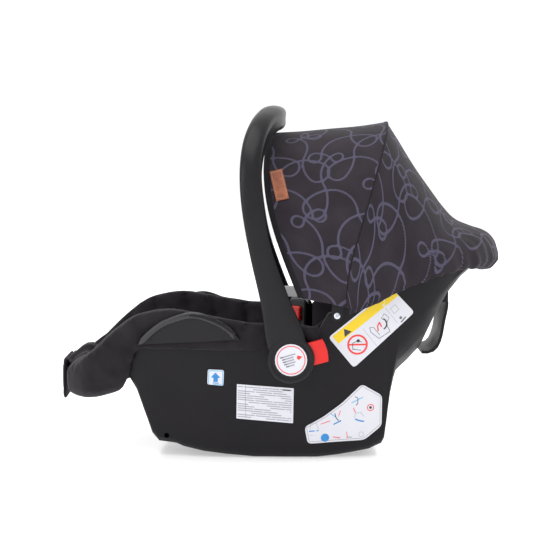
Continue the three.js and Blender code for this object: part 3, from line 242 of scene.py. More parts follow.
def finish_node(name, material, smooth_angle=38):
    """Gives a CAD piece its material, and smooth shading between faces that meet softly."""
    node = frame["nodes"][name]
    node.data.materials.clear()
    node.data.materials.append(material)
    node.data.polygons.foreach_set("use_smooth", [True] * len(node.data.polygons))
    if node.data.has_custom_normals:
        attribute = node.data.attributes.get("custom_normal")
        if attribute:
            node.data.attributes.remove(attribute)
    weld = node.modifiers.new("join corners", "WELD")
    weld.merge_threshold = 0.00001
    split = node.modifiers.new("keep edges", "EDGE_SPLIT")
    split.split_angle = math.radians(smooth_angle)
    return node


finish_node("shell", shell_plastic)
for name in ("lap_belt_guide_left", "lap_belt_guide_right", "rear_belt_guide",
             "hub_socket_left", "hub_socket_right", "canopy_bracket_left", "canopy_bracket_right"):
    finish_node(name, fitting_plastic)


def vertex_rows(mesh, what="co"):
    """One row of three numbers for each vertex."""
    rows = np.zeros(len(mesh.vertices) * 3)
    mesh.vertices.foreach_get(what, rows)
    return rows.reshape(-1, 3)


def welded_copy(node, name):
    """A CAD piece's shape as a new object with its corners joined."""
    mesh = frame["nodes"][node].data.copy()
    shape = bmesh.new()
    shape.from_mesh(mesh)
    bmesh.ops.remove_doubles(shape, verts=shape.verts, dist=0.00001)
    shape.to_mesh(mesh)
    shape.free()
    for attribute in [a for a in mesh.attributes if a.name == "custom_normal"]:
        mesh.attributes.remove(attribute)
    piece = bpy.data.objects.new(name, mesh)
    scene.collection.objects.link(piece)
    return piece


def applied(piece):
    """Turns the modifiers of a piece into plain mesh."""
    graph = bpy.context.evaluated_depsgraph_get()
    mesh = bpy.data.meshes.new_from_object(piece.evaluated_get(graph))
    old = piece.data
    piece.modifiers.clear()
    piece.data = mesh
    bpy.data.meshes.remove(old)
    return piece


# ------------------------------------------------------------------ padded fabric
# Woven polyester over thin foam, sewn in panels. Air pressure in a short cloth run swells the
# foam between the sewn lines, which stay down.
def woven(name, colour, thread_mm, fuzz, roughness=0.92):
    """Plain weave: crossed threads drawn a little coarse so that they show, with a soft sheen."""
    material, tree = new_material(name)
    place = object_place(tree)
    soft = noise(tree, place, 28, 4.0)
    threads = bump(tree, voronoi(tree, place, thread_mm, distance="CHEBYCHEV"), 0.35, 0.25)
    shade(tree, base_color=two_tone(tree, soft, toned(colour, 0.72), toned(colour, 1.3), high=0.72),
          roughness=roughness, sheen_weight=fuzz, sheen_roughness=0.45, specular_ior_level=0.15,
          normal=bump(tree, soft, 0.3, 1.6, threads))
    return material


cover_fabric = woven("black_woven_polyester", "#211e22", 1.1, 0.08)
pad_fabric = woven("black_brushed_polyester", "#232125", 1.3, 0.1)
shell_tree = BVHTree.FromObject(welded_copy("shell", "shell_for_distance"),
                                bpy.context.evaluated_depsgraph_get())
bpy.data.objects.remove(bpy.data.objects["shell_for_distance"])


swell_frames, near_shell, too_deep = 20, 12, 8


def padded_piece(name, node, material, voxel, swell, seams, sew_depth=2.5, body="shell",
                 shell_clearance=0.4):
    """Swells a copy of a CAD pad between its sewn lines, no point by more than swell.

    seams(points, normals) gives each point from 0, free, to 1, sewn down."""
    piece = welded_copy(node, name)
    remesh = piece.modifiers.new("remesh", "REMESH")
    remesh.mode = "VOXEL"
    remesh.voxel_size = voxel * MM
    applied(piece)
    mesh = piece.data
    start, normals = vertex_rows(mesh), vertex_rows(mesh, "normal")
    sewn = np.clip(seams(start / MM, normals), 0, 1)
    start -= normals * (sewn * sew_depth * MM)[:, None]
    mesh.vertices.foreach_set("co", start.ravel())
    group = piece.vertex_groups.new(name="sewn")
    for i in np.nonzero(sewn > 0.05)[0]:
        group.add([int(i)], float(sewn[i]), "REPLACE")
    cloth = piece.modifiers.new("swell", "CLOTH")
    cloth.settings.quality = 5
    cloth.settings.mass = 0.3
    cloth.settings.use_pressure = True
    cloth.settings.uniform_pressure_force = 4
    cloth.settings.vertex_group_mass = "sewn"
    cloth.settings.effector_weights.gravity = 0
    cloth.point_cache.frame_start, cloth.point_cache.frame_end = 1, swell_frames
    for step in range(1, swell_frames + 1):
        scene.frame_set(step)
    graph = bpy.context.evaluated_depsgraph_get()
    swollen = vertex_rows(piece.evaluated_get(graph).data)
    piece.modifiers.remove(cloth)
    scene.frame_set(1)
    move = swollen - start
    size = np.linalg.norm(move, axis=1)
    move *= (np.minimum(size, swell * MM) / np.maximum(size, 1e-9))[:, None]
    start = start + move
    for i, point in enumerate(start):
        near, out, _, distance = shell_tree.find_nearest(Vector(point), near_shell * MM)
        if near is not None:
            gap = (Vector(point) - near).dot(out)
            if gap < shell_clearance * MM and distance < too_deep * MM:
                start[i] = near + out * shell_clearance * MM
    mesh.vertices.foreach_set("co", start.ravel())
    finer = piece.modifiers.new("finer", "SUBSURF")
    finer.levels = finer.render_levels = 1
    applied(piece)
    piece.data.materials.clear()
    piece.data.materials.append(material)
    piece.data.polygons.foreach_set("use_smooth", [True] * len(piece.data.polygons))
    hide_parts(node)
    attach(piece, body)
    return piece


def line_of(values, places, width):
    """1 on lines at the given places, falling to 0 over half their width."""
    nearest = np.min(np.abs(values[:, None] - np.array(places)[None, :]), axis=1)
    return np.clip(1 - nearest / (width / 2), 0, 1)


# ------------------------------------------------------------------ seat cover
# One quilted cover lines the bucket and rolls over the rim; upright tucks take up its fullness
# along both bolsters, and an elastic hem grips the foot end.
tuck_places = (-262, -214, -158, -116, -62, -16, 40)


def cover_seams(points, normals):
    x, y, z = points.T
    facing_in = np.sign(y) * normals[:, 1] < -0.25
    return line_of(x + 6 * np.sin(z / 17), tuck_places, 17) * facing_in * (np.abs(y) > 95)


seat_cover = padded_piece("padded_seat_cover", "seat_cover", cover_fabric, 6, 5, cover_seams,
                          sew_depth=8.5)


# ------------------------------------------------------------------ inlay cushion and head ring
# A loose fibre-filled cushion lies in the bucket, sewn across in channels, with a horseshoe
# bolster round the head.
channel_step = 62


def pad_seams(points, normals):
    x, y, z = points.T
    along = x + 0.6 * z
    across = line_of(np.mod(along, channel_step), (channel_step / 2,), 12)
    middle = line_of(np.abs(y), (52,), 9) * 0.8
    facing_up = normals[:, 2] > 0.15
    return np.maximum(across, middle) * facing_up


def no_seams(points, normals):
    return np.zeros(len(points))


padded_piece("inlay_cushion", "seat_pad", pad_fabric, 5, 7, pad_seams, sew_depth=5)
padded_piece("head_bolster", "head_ring", pad_fabric, 4, 4, no_seams)
for side, _ in sides:
    padded_piece(f"shoulder_sleeve_{side}", f"shoulder_pad_{side}", pad_fabric, 2.5, 1.5, no_seams)
padded_piece("crotch_sleeve", "crotch_pad", pad_fabric, 2.5, 1.5, no_seams)
padded_piece("foot_end_flap", "foot_flap", cover_fabric, 2.4, 1.2, no_seams)


# ------------------------------------------------------------------ lap belt guide rims
# The half-moon hooks end in a thick rolled rim that the belt slides round, polished by the tool.
rim_plastic = moulded_plastic("polished_black_polypropylene", "#1b191d", 0.3, 1.0, 0.1, 0.5)
guide_arc = [(-223, 0, 181), (-204, 0, 201), (-179, 0, 218), (-137, 0, 229.5), (-101, 0, 218.5),
             (-81, 0, 206), (-69, 0, 191)]


def smooth_rows(rows, count):
    """Catmull-Rom reading of rows of numbers, spaced evenly along the first three."""
    rows = np.array(rows, float)
    padded = np.vstack([2 * rows[0] - rows[1], rows, 2 * rows[-1] - rows[-2]])
    fine = []
    for i in range(1, len(padded) - 2):
        p0, p1, p2, p3 = padded[i - 1:i + 3]
        for t in np.linspace(0, 1, 24, endpoint=False):
            fine.append(0.5 * (2 * p1 + (p2 - p0) * t + (2 * p0 - 5 * p1 + 4 * p2 - p3) * t * t
                               + (3 * p1 - p0 - 3 * p2 + p3) * t ** 3))
    fine = np.array(fine + [rows[-1]])
    run = np.concatenate([[0], np.cumsum(np.linalg.norm(np.diff(fine[:, :3], axis=0), axis=1))])
    even = np.linspace(0, run[-1], count)
    return np.array([np.interp(even, run, column) for column in fine.T]).T


def tube_skin(rings):
    """Faces between rings of equal length, with a face over each end."""
    count, size = len(rings), len(rings[0])
    points = [p for ring in rings for p in ring]
    faces = [(r * size + i, r * size + (i + 1) % size, (r + 1) * size + (i + 1) % size,
              (r + 1) * size + i) for r in range(count - 1) for i in range(size)]
    faces.append(tuple(range(size))[::-1])
    faces.append(tuple((count - 1) * size + i for i in range(size)))
    return points, faces


def outward(piece):
    """Turns a closed mesh's faces out."""
    shape = bmesh.new()
    shape.from_mesh(piece.data)
    bmesh.ops.recalc_face_normals(shape, faces=shape.faces)
    shape.to_mesh(piece.data)
    shape.free()
    return piece


for side, sign in sides:
    guide_skin = BVHTree.FromObject(frame["nodes"][f"lap_belt_guide_{side}"],
                                    bpy.context.evaluated_depsgraph_get())
    arc_points = smooth_rows(guide_arc, 60)
    for i, p in enumerate(arc_points):
        inside = np.array([-146, 0, 186]) - p
        inside /= np.linalg.norm(inside)
        probe = p + inside * 9
        hit = guide_skin.ray_cast(Vector((probe[0], sign * 400, probe[2])) * MM,
                                  Vector((0, -sign, 0)))
        arc_points[i, 1] = hit[0].y / MM if hit[0] else arc_points[i - 1, 1]
        arc_points[i, [0, 2]] = (p + inside * 1.6)[[0, 2]]
    arc_points[:, 1] = np.convolve(np.pad(arc_points[:, 1], 4, mode="edge"), np.ones(9) / 9,
                                   "valid")
    rings = []
    for i, p in enumerate(arc_points):
        ahead = arc_points[min(i + 1, 59)] - arc_points[max(i - 1, 0)]
        ahead /= np.linalg.norm(ahead)
        out = np.cross(ahead, [0, 1, 0])
        out /= np.linalg.norm(out)
        end = min(1, 0.35 + 0.25 * min(i, 59 - i))
        rings.append([p + end * (5.2 * math.cos(a) * out + 4.2 * math.sin(a) * np.array([0, 1, 0]))
                      for a in (2 * math.pi * k / 20 for k in range(20))])
    rim = outward(plain_mesh(f"belt_guide_rim_{side}", *tube_skin(rings), rim_plastic))
    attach(rim, "shell")


# ------------------------------------------------------------------ foot tab
# A strip of the cover's cloth, 118 mm wide, that is sewn to the cover inside the lip, passes over
# the adjuster strap and ends in the flap that hangs in front.
cover_and_strap = []
graph = bpy.context.evaluated_depsgraph_get()
for piece in (seat_cover, frame["nodes"]["adjuster_tail"]):
    cover_and_strap.append(BVHTree.FromObject(piece, graph))
tab_rows, tab_columns = np.linspace(-349, -306, 22), np.linspace(-59, 59, 41)
cover_edge = 143                   # the height taken where neither skin lies below
heights = np.zeros((len(tab_rows), len(tab_columns)))
for r, x in enumerate(tab_rows):
    for c, y in enumerate(tab_columns):
        for skin in cover_and_strap:
            hit = skin.ray_cast(Vector((x, y, 300)) * MM, Vector((0, 0, -1)), 0.17)
            if hit[0]:
                heights[r, c] = max(heights[r, c], hit[0].z / MM)
heights[heights < 1] = cover_edge
strap_top = heights.copy()
for _ in range(10):
    wide = np.pad(heights, 1, mode="edge")
    heights = np.maximum(strap_top, (wide[:-2, 1:-1] + wide[2:, 1:-1] + 3 * wide[1:-1, :-2]
                                     + 3 * wide[1:-1, 2:]) / 8)
tab = np.array([[(x, y, heights[r, c] + 1.2) for c, y in enumerate(tab_columns)]
                for r, x in enumerate(tab_rows)])
tab[0, :, 2] -= 6


def sheet_skin(outer, inner):
    """Points and faces of a closed sheet: two grids and the turned edges between them."""
    rows, columns = outer.shape[:2]
    size = rows * columns
    faces = []
    for r in range(rows - 1):
        for c in range(columns - 1):
            a = r * columns + c
            quad = (a, a + 1, a + columns + 1, a + columns)
            faces += [quad, tuple(i + size for i in quad[::-1])]
    rim = [r * columns for r in range(rows)] + [(rows - 1) * columns + c for c in range(1, columns)]
    rim += [r * columns + columns - 1 for r in range(rows - 2, -1, -1)]
    rim += list(range(columns - 2, 0, -1))
    faces += [(b, a, a + size, b + size) for a, b in zip(rim, rim[1:] + rim[:1])]
    return np.concatenate([outer.reshape(-1, 3), inner.reshape(-1, 3)]), faces


foot_tab = outward(plain_mesh("foot_end_tab", *sheet_skin(tab, tab - [0, 0, 1.8]), cover_fabric))
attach(foot_tab, "shell")


# ------------------------------------------------------------------ carry handle
# Two moulded channels snapped together along a fine parting line, flattened at the arms and
# nearly round at the grip, with a slight satin polish from the tool.
hub = Vector(next(j["pos_m"] for j in frame["joints"] if j["name"] == "handle_swing")) / MM
handle_plastic = moulded_plastic("satin_black_polypropylene", "#131215", 0.34, 0.9, 0.12, 0.24)
arm_rows = (                       # x, distance from the middle, z, half width, half thickness
    (12, 211.9, 162, 29, 7.6), (6, 211.9, 184, 29.5, 7.6), (0, 211.9, 207, 28.5, 7.6),
    (-13, 211.9, 253, 22, 7.6), (-34.5, 212.5, 329, 17.5, 8.2), (-46, 212, 395, 17.2, 8.5),
    (-49, 203, 445, 16.8, 12), (-44, 181, 485, 17.3, 15.5), (-33, 148, 512, 18, 18),
    (-20, 98, 527, 19, 19.5), (-13, 45, 531.5, 19.5, 20), (-12.5, 0, 532, 19.5, 20))

left_half = [(x, -y, z, a, b) for x, y, z, a, b in arm_rows]
right_half = [(x, y, z, a, b) for x, y, z, a, b in arm_rows[-2::-1]]
stations = smooth_rows(left_half + right_half, 150)
arch_middle = np.array([-20, 0, 330])
section_steps = 56
parting_depth, parting_width = 0.9, 0.14
rings = []
for i, station in enumerate(stations):
    centre, half_width, half_depth = station[:3], station[3], station[4]
    ahead = stations[min(i + 1, len(stations) - 1)][:3] - stations[max(i - 1, 0)][:3]
    ahead /= np.linalg.norm(ahead)
    out = centre - arch_middle
    out -= ahead * out.dot(ahead)
    out /= np.linalg.norm(out)
    across = np.cross(ahead, out)
    ring = []
    for k in range(section_steps):
        angle = 2 * math.pi * k / section_steps
        bulge = math.copysign(math.sqrt(abs(math.sin(angle))), math.sin(angle))
        seam = max(0.0, 1 - abs(math.sin(angle)) / parting_width)
        width = half_width - parting_depth * seam
        ring.append(centre + across * width * math.cos(angle) + out * half_depth * bulge)
    rings.append(ring)
arch = plain_mesh("handle_arch", *tube_skin(rings), handle_plastic)


def turned(name, profile, centre, side, material, steps=96):
    """A turned shape about an axis along Y: profile is (radius, distance out from the middle)."""
    rings = [[(centre[0] + r * math.cos(a), side * y, centre[1] + r * math.sin(a))
              for r, y in profile]
             for a in (2 * math.pi * k / steps for k in range(steps))]
    size = len(profile)
    points = [p for ring in rings for p in ring]
    faces = []
    for k in range(steps):
        here, ahead = k * size, (k + 1) % steps * size
        faces += [(here + i, here + i + 1, ahead + i + 1, ahead + i) for i in range(size - 1)]
    piece = plain_mesh(name, points, faces, material)
    shape = bmesh.new()
    shape.from_mesh(piece.data)
    bmesh.ops.remove_doubles(shape, verts=shape.verts, dist=0.000001)
    bmesh.ops.recalc_face_normals(shape, faces=shape.faces)
    shape.to_mesh(piece.data)
    shape.free()
    return piece


hub_inner, hub_face = 204.5, 214.5
hub_disc_profile = ((0, hub_inner), (34.6, hub_inner), (35.7, hub_inner + 0.8),
                    (36, hub_inner + 2.2), (36, hub_face + 1.8), (35.6, hub_face + 3.4), (34.4, hub_face + 4.6),
                    (32.6, hub_face + 5.0), (30.6, hub_face + 4.7), (28.6, hub_face + 3.7),
                    (27.8, hub_face + 3.5), (27.2, hub_face + 4.4), (26.4, hub_face + 4.9),
                    (0, hub_face + 5.0))
discs = [turned(f"disc_{side}", hub_disc_profile[:6], (hub.x, hub.z), sign, handle_plastic)
         for side, sign in sides]


def joined(name, pieces):
    """Several objects as one."""
    for piece in bpy.context.selected_objects:
        piece.select_set(False)
    for piece in pieces:
        piece.select_set(True)
    bpy.context.view_layer.objects.active = pieces[0]
    bpy.ops.object.join()
    pieces[0].name = name
    pieces[0].data.name = name
    return pieces[0]


def button_slot(side):
    """A block round a release button at both ends of its travel, open outwards."""
    press = next(j for j in frame["joints"] if j["name"] == f"release_press_{side}")
    inward = Vector(press["axis"]).normalized()
    across = Vector((-inward.z, 0, inward.x))
    places = [v.co / MM for v in frame["nodes"][f"release_button_{side}"].data.vertices]
    runs, offsets, depths = zip(*((p.dot(inward), p.dot(across), p.y) for p in places))
    points = [inward * a + across * b + Vector((0, c, 0))
              for a in (min(runs) - 12, max(runs) + 5.4)
              for b in (min(offsets) - 0.4, max(offsets) + 0.4)
              for c in (min(depths) - 0.3, max(depths) + 0.3)]
    faces = [(0, 1, 3, 2), (4, 5, 7, 6), (0, 1, 5, 4), (2, 3, 7, 6), (0, 2, 6, 4), (1, 3, 7, 5)]
    return outward(plain_mesh(f"slot_{side}", points, faces, handle_plastic))


def cut_away(piece, cutter):
    """Takes the cutter's room out of a piece."""
    cut = piece.modifiers.new("room", "BOOLEAN")
    cut.object, cut.operation, cut.solver = cutter, "DIFFERENCE", "EXACT"
    return applied(piece)


outward(arch)
for (side, _), disc in zip(sides, discs):
    room = button_slot(side)
    cut_away(arch, room)
    cut_away(disc, room)
    bpy.data.objects.remove(room)
handle = joined("carry_handle", [arch] + discs)
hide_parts("handle_outer", "handle_inner")
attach(handle, "handle")

# Hub caps: a raised ring round a shallow seat for the round label.
for side, sign in sides:
    cap = turned(f"hub_cover_{side}", hub_disc_profile[5:] + ((0, hub_face + 0.6),
                 (35.6, hub_face + 0.6), hub_disc_profile[5]), (hub.x, hub.z), sign, handle_plastic)
    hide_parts(f"hub_cap_{side}")
    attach(cap, "handle")

# ------------------------------------------------------------------ red buttons
# Glossy red acetal, moulded with rounded edges so that fingers find it.
red_plastic = moulded_plastic("glossy_red_acetal", "#cb211d", 0.3, 1.2, 0.06, 0.35)
for side, _ in sides:
    finish_node(f"release_button_{side}", red_plastic, 25)
    round_edge = frame["nodes"][f"release_button_{side}"].modifiers.new("round", "BEVEL")
    round_edge.width, round_edge.segments = 0.6 * MM, 2
    round_edge.limit_method, round_edge.angle_limit = "ANGLE", math.radians(40)
finish_node("buckle_button", red_plastic, 25)
finish_node("adjuster_button", red_plastic, 25)

# ------------------------------------------------------------------ sun canopy
# Charcoal woven polyester sewn in two panels over the bows, printed with looping grey lines.
# A bound front edge, a black corded ridge seam and a gathered elastic hem at the tail.
pivot = np.array([85.0, 0.0, 250.0])
ridge_angle, front_angle = math.radians(73), math.radians(112)
canopy_half, canopy_reach, front_reach, squareness = 204, 288.5, 278.5, 2.8
front_bulge, sheet_thickness = 54, 1.5


def arch_point(angle, reach, share):
    phi = share * math.pi
    r = reach * max(math.sin(phi), 0) ** (2 / squareness)
    y = -math.copysign(canopy_half * abs(math.cos(phi)) ** (2 / squareness), math.cos(phi))
    return pivot + [r * math.cos(angle), y, r * math.sin(angle)], r


def front_point(share):
    point, r = arch_point(front_angle, front_reach, 0.0125 + 0.975 * share)
    ahead = front_bulge * (1 - (r / front_reach) ** 4)
    return point + ahead * np.array([math.cos(front_angle + math.pi / 2), 0,
                                     math.sin(front_angle + math.pi / 2)])


def ridge_point(share):
    point, r = arch_point(ridge_angle, canopy_reach, share)
    return point + [16 * max(0, 1 - (r + 10) / 90) ** 2, 0, -10 * max(0, 1 - r / 30)]


canopy_columns = 300
dense = np.linspace(0, 1, 4001)
ridge_dense = np.array([ridge_point(c) for c in dense])
ridge_run = np.concatenate([[0], np.cumsum(np.linalg.norm(np.diff(ridge_dense, axis=0), axis=1))])
shares = np.interp(np.linspace(0, ridge_run[-1], canopy_columns + 1), ridge_run, dense)
front_line = np.array([front_point(c) for c in shares])
ridge_line = np.array([ridge_point(c) for c in shares])
tail_rows = [(101, -213, 239), (142, -211, 255), (172, -208, 271), (209, -201, 286),
             (250, -187, 298), (285, -161, 306), (315, -125, 311), (338, -78, 314)]
tail_route = tail_rows + [(353, 0, 314)] + [(x, -y, z) for x, y, z in tail_rows[::-1]]
tail_line = smooth_rows(tail_route, 2001)
tail_line = np.array([[np.interp(c, np.linspace(0, 1, 2001), tail_line[:, k]) for k in range(3)]
                      for c in shares])
middle = int(np.argmax(ridge_line[:, 2]))
profile = smooth_rows([(169, 0, 526), (189, 0, 493), (212, 0, 459), (239, 0, 421.5), (263, 0, 389),
                       (284, 0, 368), (310, 0, 356.5), (334, 0, 348), (347, 0, 333),
                       (353, 0, 314)], 101)
profile[:, 0] += np.linspace(ridge_line[middle, 0] - 169, 0, 101)
profile[:, 2] += np.linspace(ridge_line[middle, 2] - 526, 0, 101)


def grid_normals(grid, inside):
    """Unit normals of a grid of points, turned away from a point inside."""
    down = np.gradient(grid, axis=0)
    along = np.gradient(grid, axis=1)
    normal = np.cross(down, along)
    normal /= np.maximum(np.linalg.norm(normal, axis=2, keepdims=True), 1e-9)
    flip = np.sum(normal * (grid - inside), axis=2, keepdims=True) < 0
    return np.where(flip, -normal, normal)


under_canopy = np.array([90.0, 0.0, 300.0])


def waves(u, v, table):
    return sum(size * np.sin(u / a + v / b + turn) for size, a, b, turn in table)


def canopy_grid(start_line, end_line, rows, bend):
    share = np.linspace(0, 1, rows + 1)[:, None, None]
    return start_line[None] * (1 - share) + end_line[None] * share + bend(share)


def front_bend(share):
    at = front_line[None] * (1 - share) + ridge_line[None] * share
    toward = pivot - at
    toward[:, :, 1] = -at[:, :, 1] * 0.3
    toward /= np.linalg.norm(toward, axis=2, keepdims=True)
    return toward * 3 * 4 * share * (1 - share)


front_rows, rear_rows = 72, 96
front_grid = canopy_grid(front_line, ridge_line, front_rows, front_bend)
seam_shift = tail_line - ridge_line
seam_shift *= 0.6 / np.linalg.norm(seam_shift, axis=1, keepdims=True)
arch_weight = (np.sin(shares * math.pi) ** 2)[None, :, None]


def rear_bend(share):
    steps = np.interp(share.ravel(), np.linspace(0, 1, 101), np.arange(101))
    at = np.array([[np.interp(s, np.arange(101), profile[:, k]) for k in range(3)] for s in steps])
    chord = ridge_line[middle] * (1 - share[:, 0]) + tail_line[middle] * share[:, 0]
    return (at - chord)[:, None, :] * arch_weight


rear_grid = canopy_grid(ridge_line + seam_shift, tail_line, rear_rows, rear_bend)
hem = []
hem_steps = ((0, 3.4), (0, 6.8), (0, 10), (4, 15), (8, 20), (12, 24), (18, 25.5), (24, 26.6),
             (31, 27))
for inward, down in hem_steps:
    weight = np.sin(shares * math.pi) ** 6
    hem.append(tail_line + np.stack([
        -inward * weight, -tail_line[:, 1] * 0.1 * weight * inward / hem_steps[-1][0],
        -down * (0.3 + 0.7 * weight)], axis=1))
rear_grid = np.concatenate([rear_grid, np.array(hem)])


def chart(grid, shared_row):
    """Flat place of each point in millimetres: along the arch, and across the panel."""
    row = grid[shared_row]
    v = np.concatenate([[0], np.cumsum(np.linalg.norm(np.diff(row, axis=0), axis=1))])
    v = v - v[len(v) // 2]
    step = np.linalg.norm(np.diff(grid, axis=0), axis=2)
    u = np.concatenate([np.zeros((1, grid.shape[1])), np.cumsum(step, axis=0)])
    return u, np.broadcast_to(v[None, :], u.shape)


# The print: a line that wanders in teardrops and small loops, drawn as arcs whose turns add up
# to nothing, so that each lane marches on. Radii in millimetres, turns in degrees.
lane_arcs = ((52, 50), (17, 190), (52, 55), (48, -75), (9, -280), (32, 60), (10, 280), (46, -80),
             (54, -50), (16, -190), (52, -50), (38, 90))
lane_gap, line_half_width = 60, 1.8


def one_round():
    """Points of one whole round of arcs, turned to march along the first axis."""
    points, at, heading = [(0.0, 0.0)], np.zeros(2), 0.0
    for radius, turn in lane_arcs:
        steps = int(radius * abs(math.radians(turn)) / 1.4)
        for _ in range(steps):
            heading += math.radians(turn) / steps
            at = at + radius * abs(math.radians(turn)) / steps * np.array(
                [math.cos(heading), math.sin(heading)])
            points.append(tuple(at))
    points = np.array(points)
    forward = points[-1] / np.linalg.norm(points[-1])
    points = np.stack([points @ forward, points @ [-forward[1], forward[0]]], axis=1)
    return points - [0, points[:, 1].mean()]


def printed_line_distance(u, v, shift):
    """Distance in millimetres from each place of a chart to the nearest printed line."""
    once = one_round()
    march = once[-1, 0] - once[0, 0]
    samples = []
    for k in range(int((u.max() - u.min()) / lane_gap) + 3):
        row = once * [1, 1 if k % 2 else -1]
        start = v.min() - march * (1.2 + 0.37 * k % 1)
        for n in range(int((v.max() - start) / march) + 2):
            samples += [(u.min() + (k - 0.4) * lane_gap + shift + b, start + n * march + a)
                        for a, b in row]
    tree = KDTree(len(samples))
    for i, (a, b) in enumerate(samples):
        tree.insert((a, b, 0), i)
    tree.balance()
    return [tree.find((a, b, 0))[2] for a, b in zip(u.ravel(), v.ravel())]


canopy_fabric, tree = new_material("charcoal_woven_polyester_printed")
distance = put(tree, "ShaderNodeAttribute", attribute_name="line_mm").outputs["Fac"]
# The flat places are in millimetres, so a size given to noise() is divided by MM once more.
flat_place = put(tree, "ShaderNodeUVMap", uv_map="flat_mm").outputs["UV"]
frayed = maths(tree, "ADD", distance, noise(tree, flat_place, 1 / (0.9 * MM)))
on_line = remap(tree, frayed, 1.0, 0.0, line_half_width + 0.15, line_half_width + 0.85)
cloudy = noise(tree, flat_place, 1 / (0.02 * MM), 4.0)
colour = put(tree, "ShaderNodeMix", data_type="RGBA")
tree.links.new(on_line, colour.inputs["Factor"])
tree.links.new(two_tone(tree, cloudy, linear("#221d23"), linear("#2e282f")), colour.inputs[6])
colour.inputs[7].default_value = linear("#4a4658")
warp, weft = (put(tree, "ShaderNodeTexWave", {"Vector": flat_place, "Scale": 0.32,
                  "Distortion": 0.4}, bands_direction=way).outputs["Fac"] for way in "XY")
weave = bump(tree, maths(tree, "MULTIPLY", warp, weft), 0.3, 0.2)
shade(tree, base_color=colour.outputs[2], roughness=0.78, sheen_weight=0.06, sheen_roughness=0.4,
      specular_ior_level=0.2, normal=bump(tree, cloudy, 0.25, 1.5, weave))


def fabric_sheet(name, grid, ends, shift, material):
    """A closed thin sheet that keeps clear of the shell, with its print and its flat places."""
    normal = grid_normals(grid, under_canopy)
    clear = sheet_thickness + 0.9
    u, v = ends
    for r in range(grid.shape[0]):
        for c in range(grid.shape[1]):
            point = Vector(grid[r, c] * MM)
            near, out, _, _ = shell_tree.find_nearest(point, 9 * MM)
            if near is not None and (point - near).dot(out) / MM < clear:
                grid[r, c] = np.array(near) / MM + np.array(out) * clear
    piece = outward(plain_mesh(name, *sheet_skin(grid, grid - normal * sheet_thickness), material))
    mesh = piece.data
    lines = printed_line_distance(u, v, shift)
    mesh.attributes.new("line_mm", "FLOAT", "POINT").data.foreach_set("value", lines + lines)
    flat = mesh.uv_layers.new(name="flat_mm").data
    places = np.stack([np.concatenate([u.ravel()] * 2), np.concatenate([v.ravel()] * 2)], axis=1)
    corner = np.zeros(len(mesh.loops), int)
    mesh.loops.foreach_get("vertex_index", corner)
    flat.foreach_set("uv", places[corner].ravel())
    return piece


front_chart = chart(front_grid, front_rows // 2)
u, v = front_chart
near_pivot = np.exp(-(np.abs(v).max() - np.abs(v)) / 55)
slack = np.sin(np.pi * np.linspace(0, 1, front_rows + 1))[:, None]
front_grid += grid_normals(front_grid, under_canopy) * (slack * (
    waves(u, v, ((0.7, 37, 61, 0.4), (0.5, 19, -43, 1.9)))
    + near_pivot * waves(u, v, ((2.2, 9.5, 60, 0), (1.4, 6.1, -45, 1)))))[:, :, None]
front_panel = fabric_sheet("canopy_front_sheet", front_grid, front_chart, 10, canopy_fabric)
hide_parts("canopy_front_panel")

rear_chart = chart(rear_grid, 30)
u, v = rear_chart
to_hem = np.exp(-(np.abs(np.arange(rear_grid.shape[0]) - rear_rows - 4) * 2.6 / 26))[:, None]
slack = np.clip(np.arange(rear_grid.shape[0]) / 12, 0, 1)[:, None]
rear_grid += grid_normals(rear_grid, under_canopy) * (slack * (
    waves(u, v, ((0.9, 41, 77, 1.4), (0.6, 23, -51, 0.2)))
    + to_hem * waves(u, v, ((1.5, 70, 3.6, 0), (0.9, -30, 5.9, 2.0)))))[:, :, None]
rear_panel = fabric_sheet("canopy_rear_sheet", rear_grid, rear_chart, -18, canopy_fabric)
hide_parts("canopy_rear_panel")

# Binding and corded seam: black polyester tape folded over the raw edges and sewn.
binding_tape = woven("black_polyester_tape", "#1d1b1e", 0.9, 0.1)


def edge_roll(name, line, inward, normal, width, height, shift, material, steps=14):
    """A flattened roll that follows a line: width into the panel, height out of it."""
    rings = []
    for p, d, n in zip(line, inward, normal):
        ring = []
        for k in range(steps):
            a = 2 * math.pi * k / steps
            across, up = (math.copysign(abs(f(a)) ** 0.8, f(a)) for f in (math.cos, math.sin))
            ring.append(p + d * (shift + width / 2 * across)
                        + n * (height / 2 * up - sheet_thickness / 2))
        rings.append(ring)
    return outward(plain_mesh(name, *tube_skin(rings), material))


front_normals = grid_normals(front_grid, under_canopy)
step_in = front_grid[4] - front_grid[0]
step_in /= np.linalg.norm(step_in, axis=1, keepdims=True)
binding = edge_roll("canopy_front_binding", front_grid[0], step_in, front_normals[1], 10, 3.4, 3.6,
                    binding_tape)
step_down = front_grid[-4] - front_grid[-1]
step_down /= np.linalg.norm(step_down, axis=1, keepdims=True)
piping = edge_roll("canopy_ridge_piping", front_grid[-1], step_down, front_normals[-2], 3.2, 3.2,
                   -0.3, binding_tape, 10)
for piece in (front_panel, binding):
    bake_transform(piece, "canopy_ridge", "canopy_front", (0.1435, 0, 0.441), (0.010, 0, 0.435))
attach(piping, "canopy_ridge")
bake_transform(rear_panel, "shell", "canopy_ridge", (0.300, 0, 0.345), (0.169, 0, 0.526))

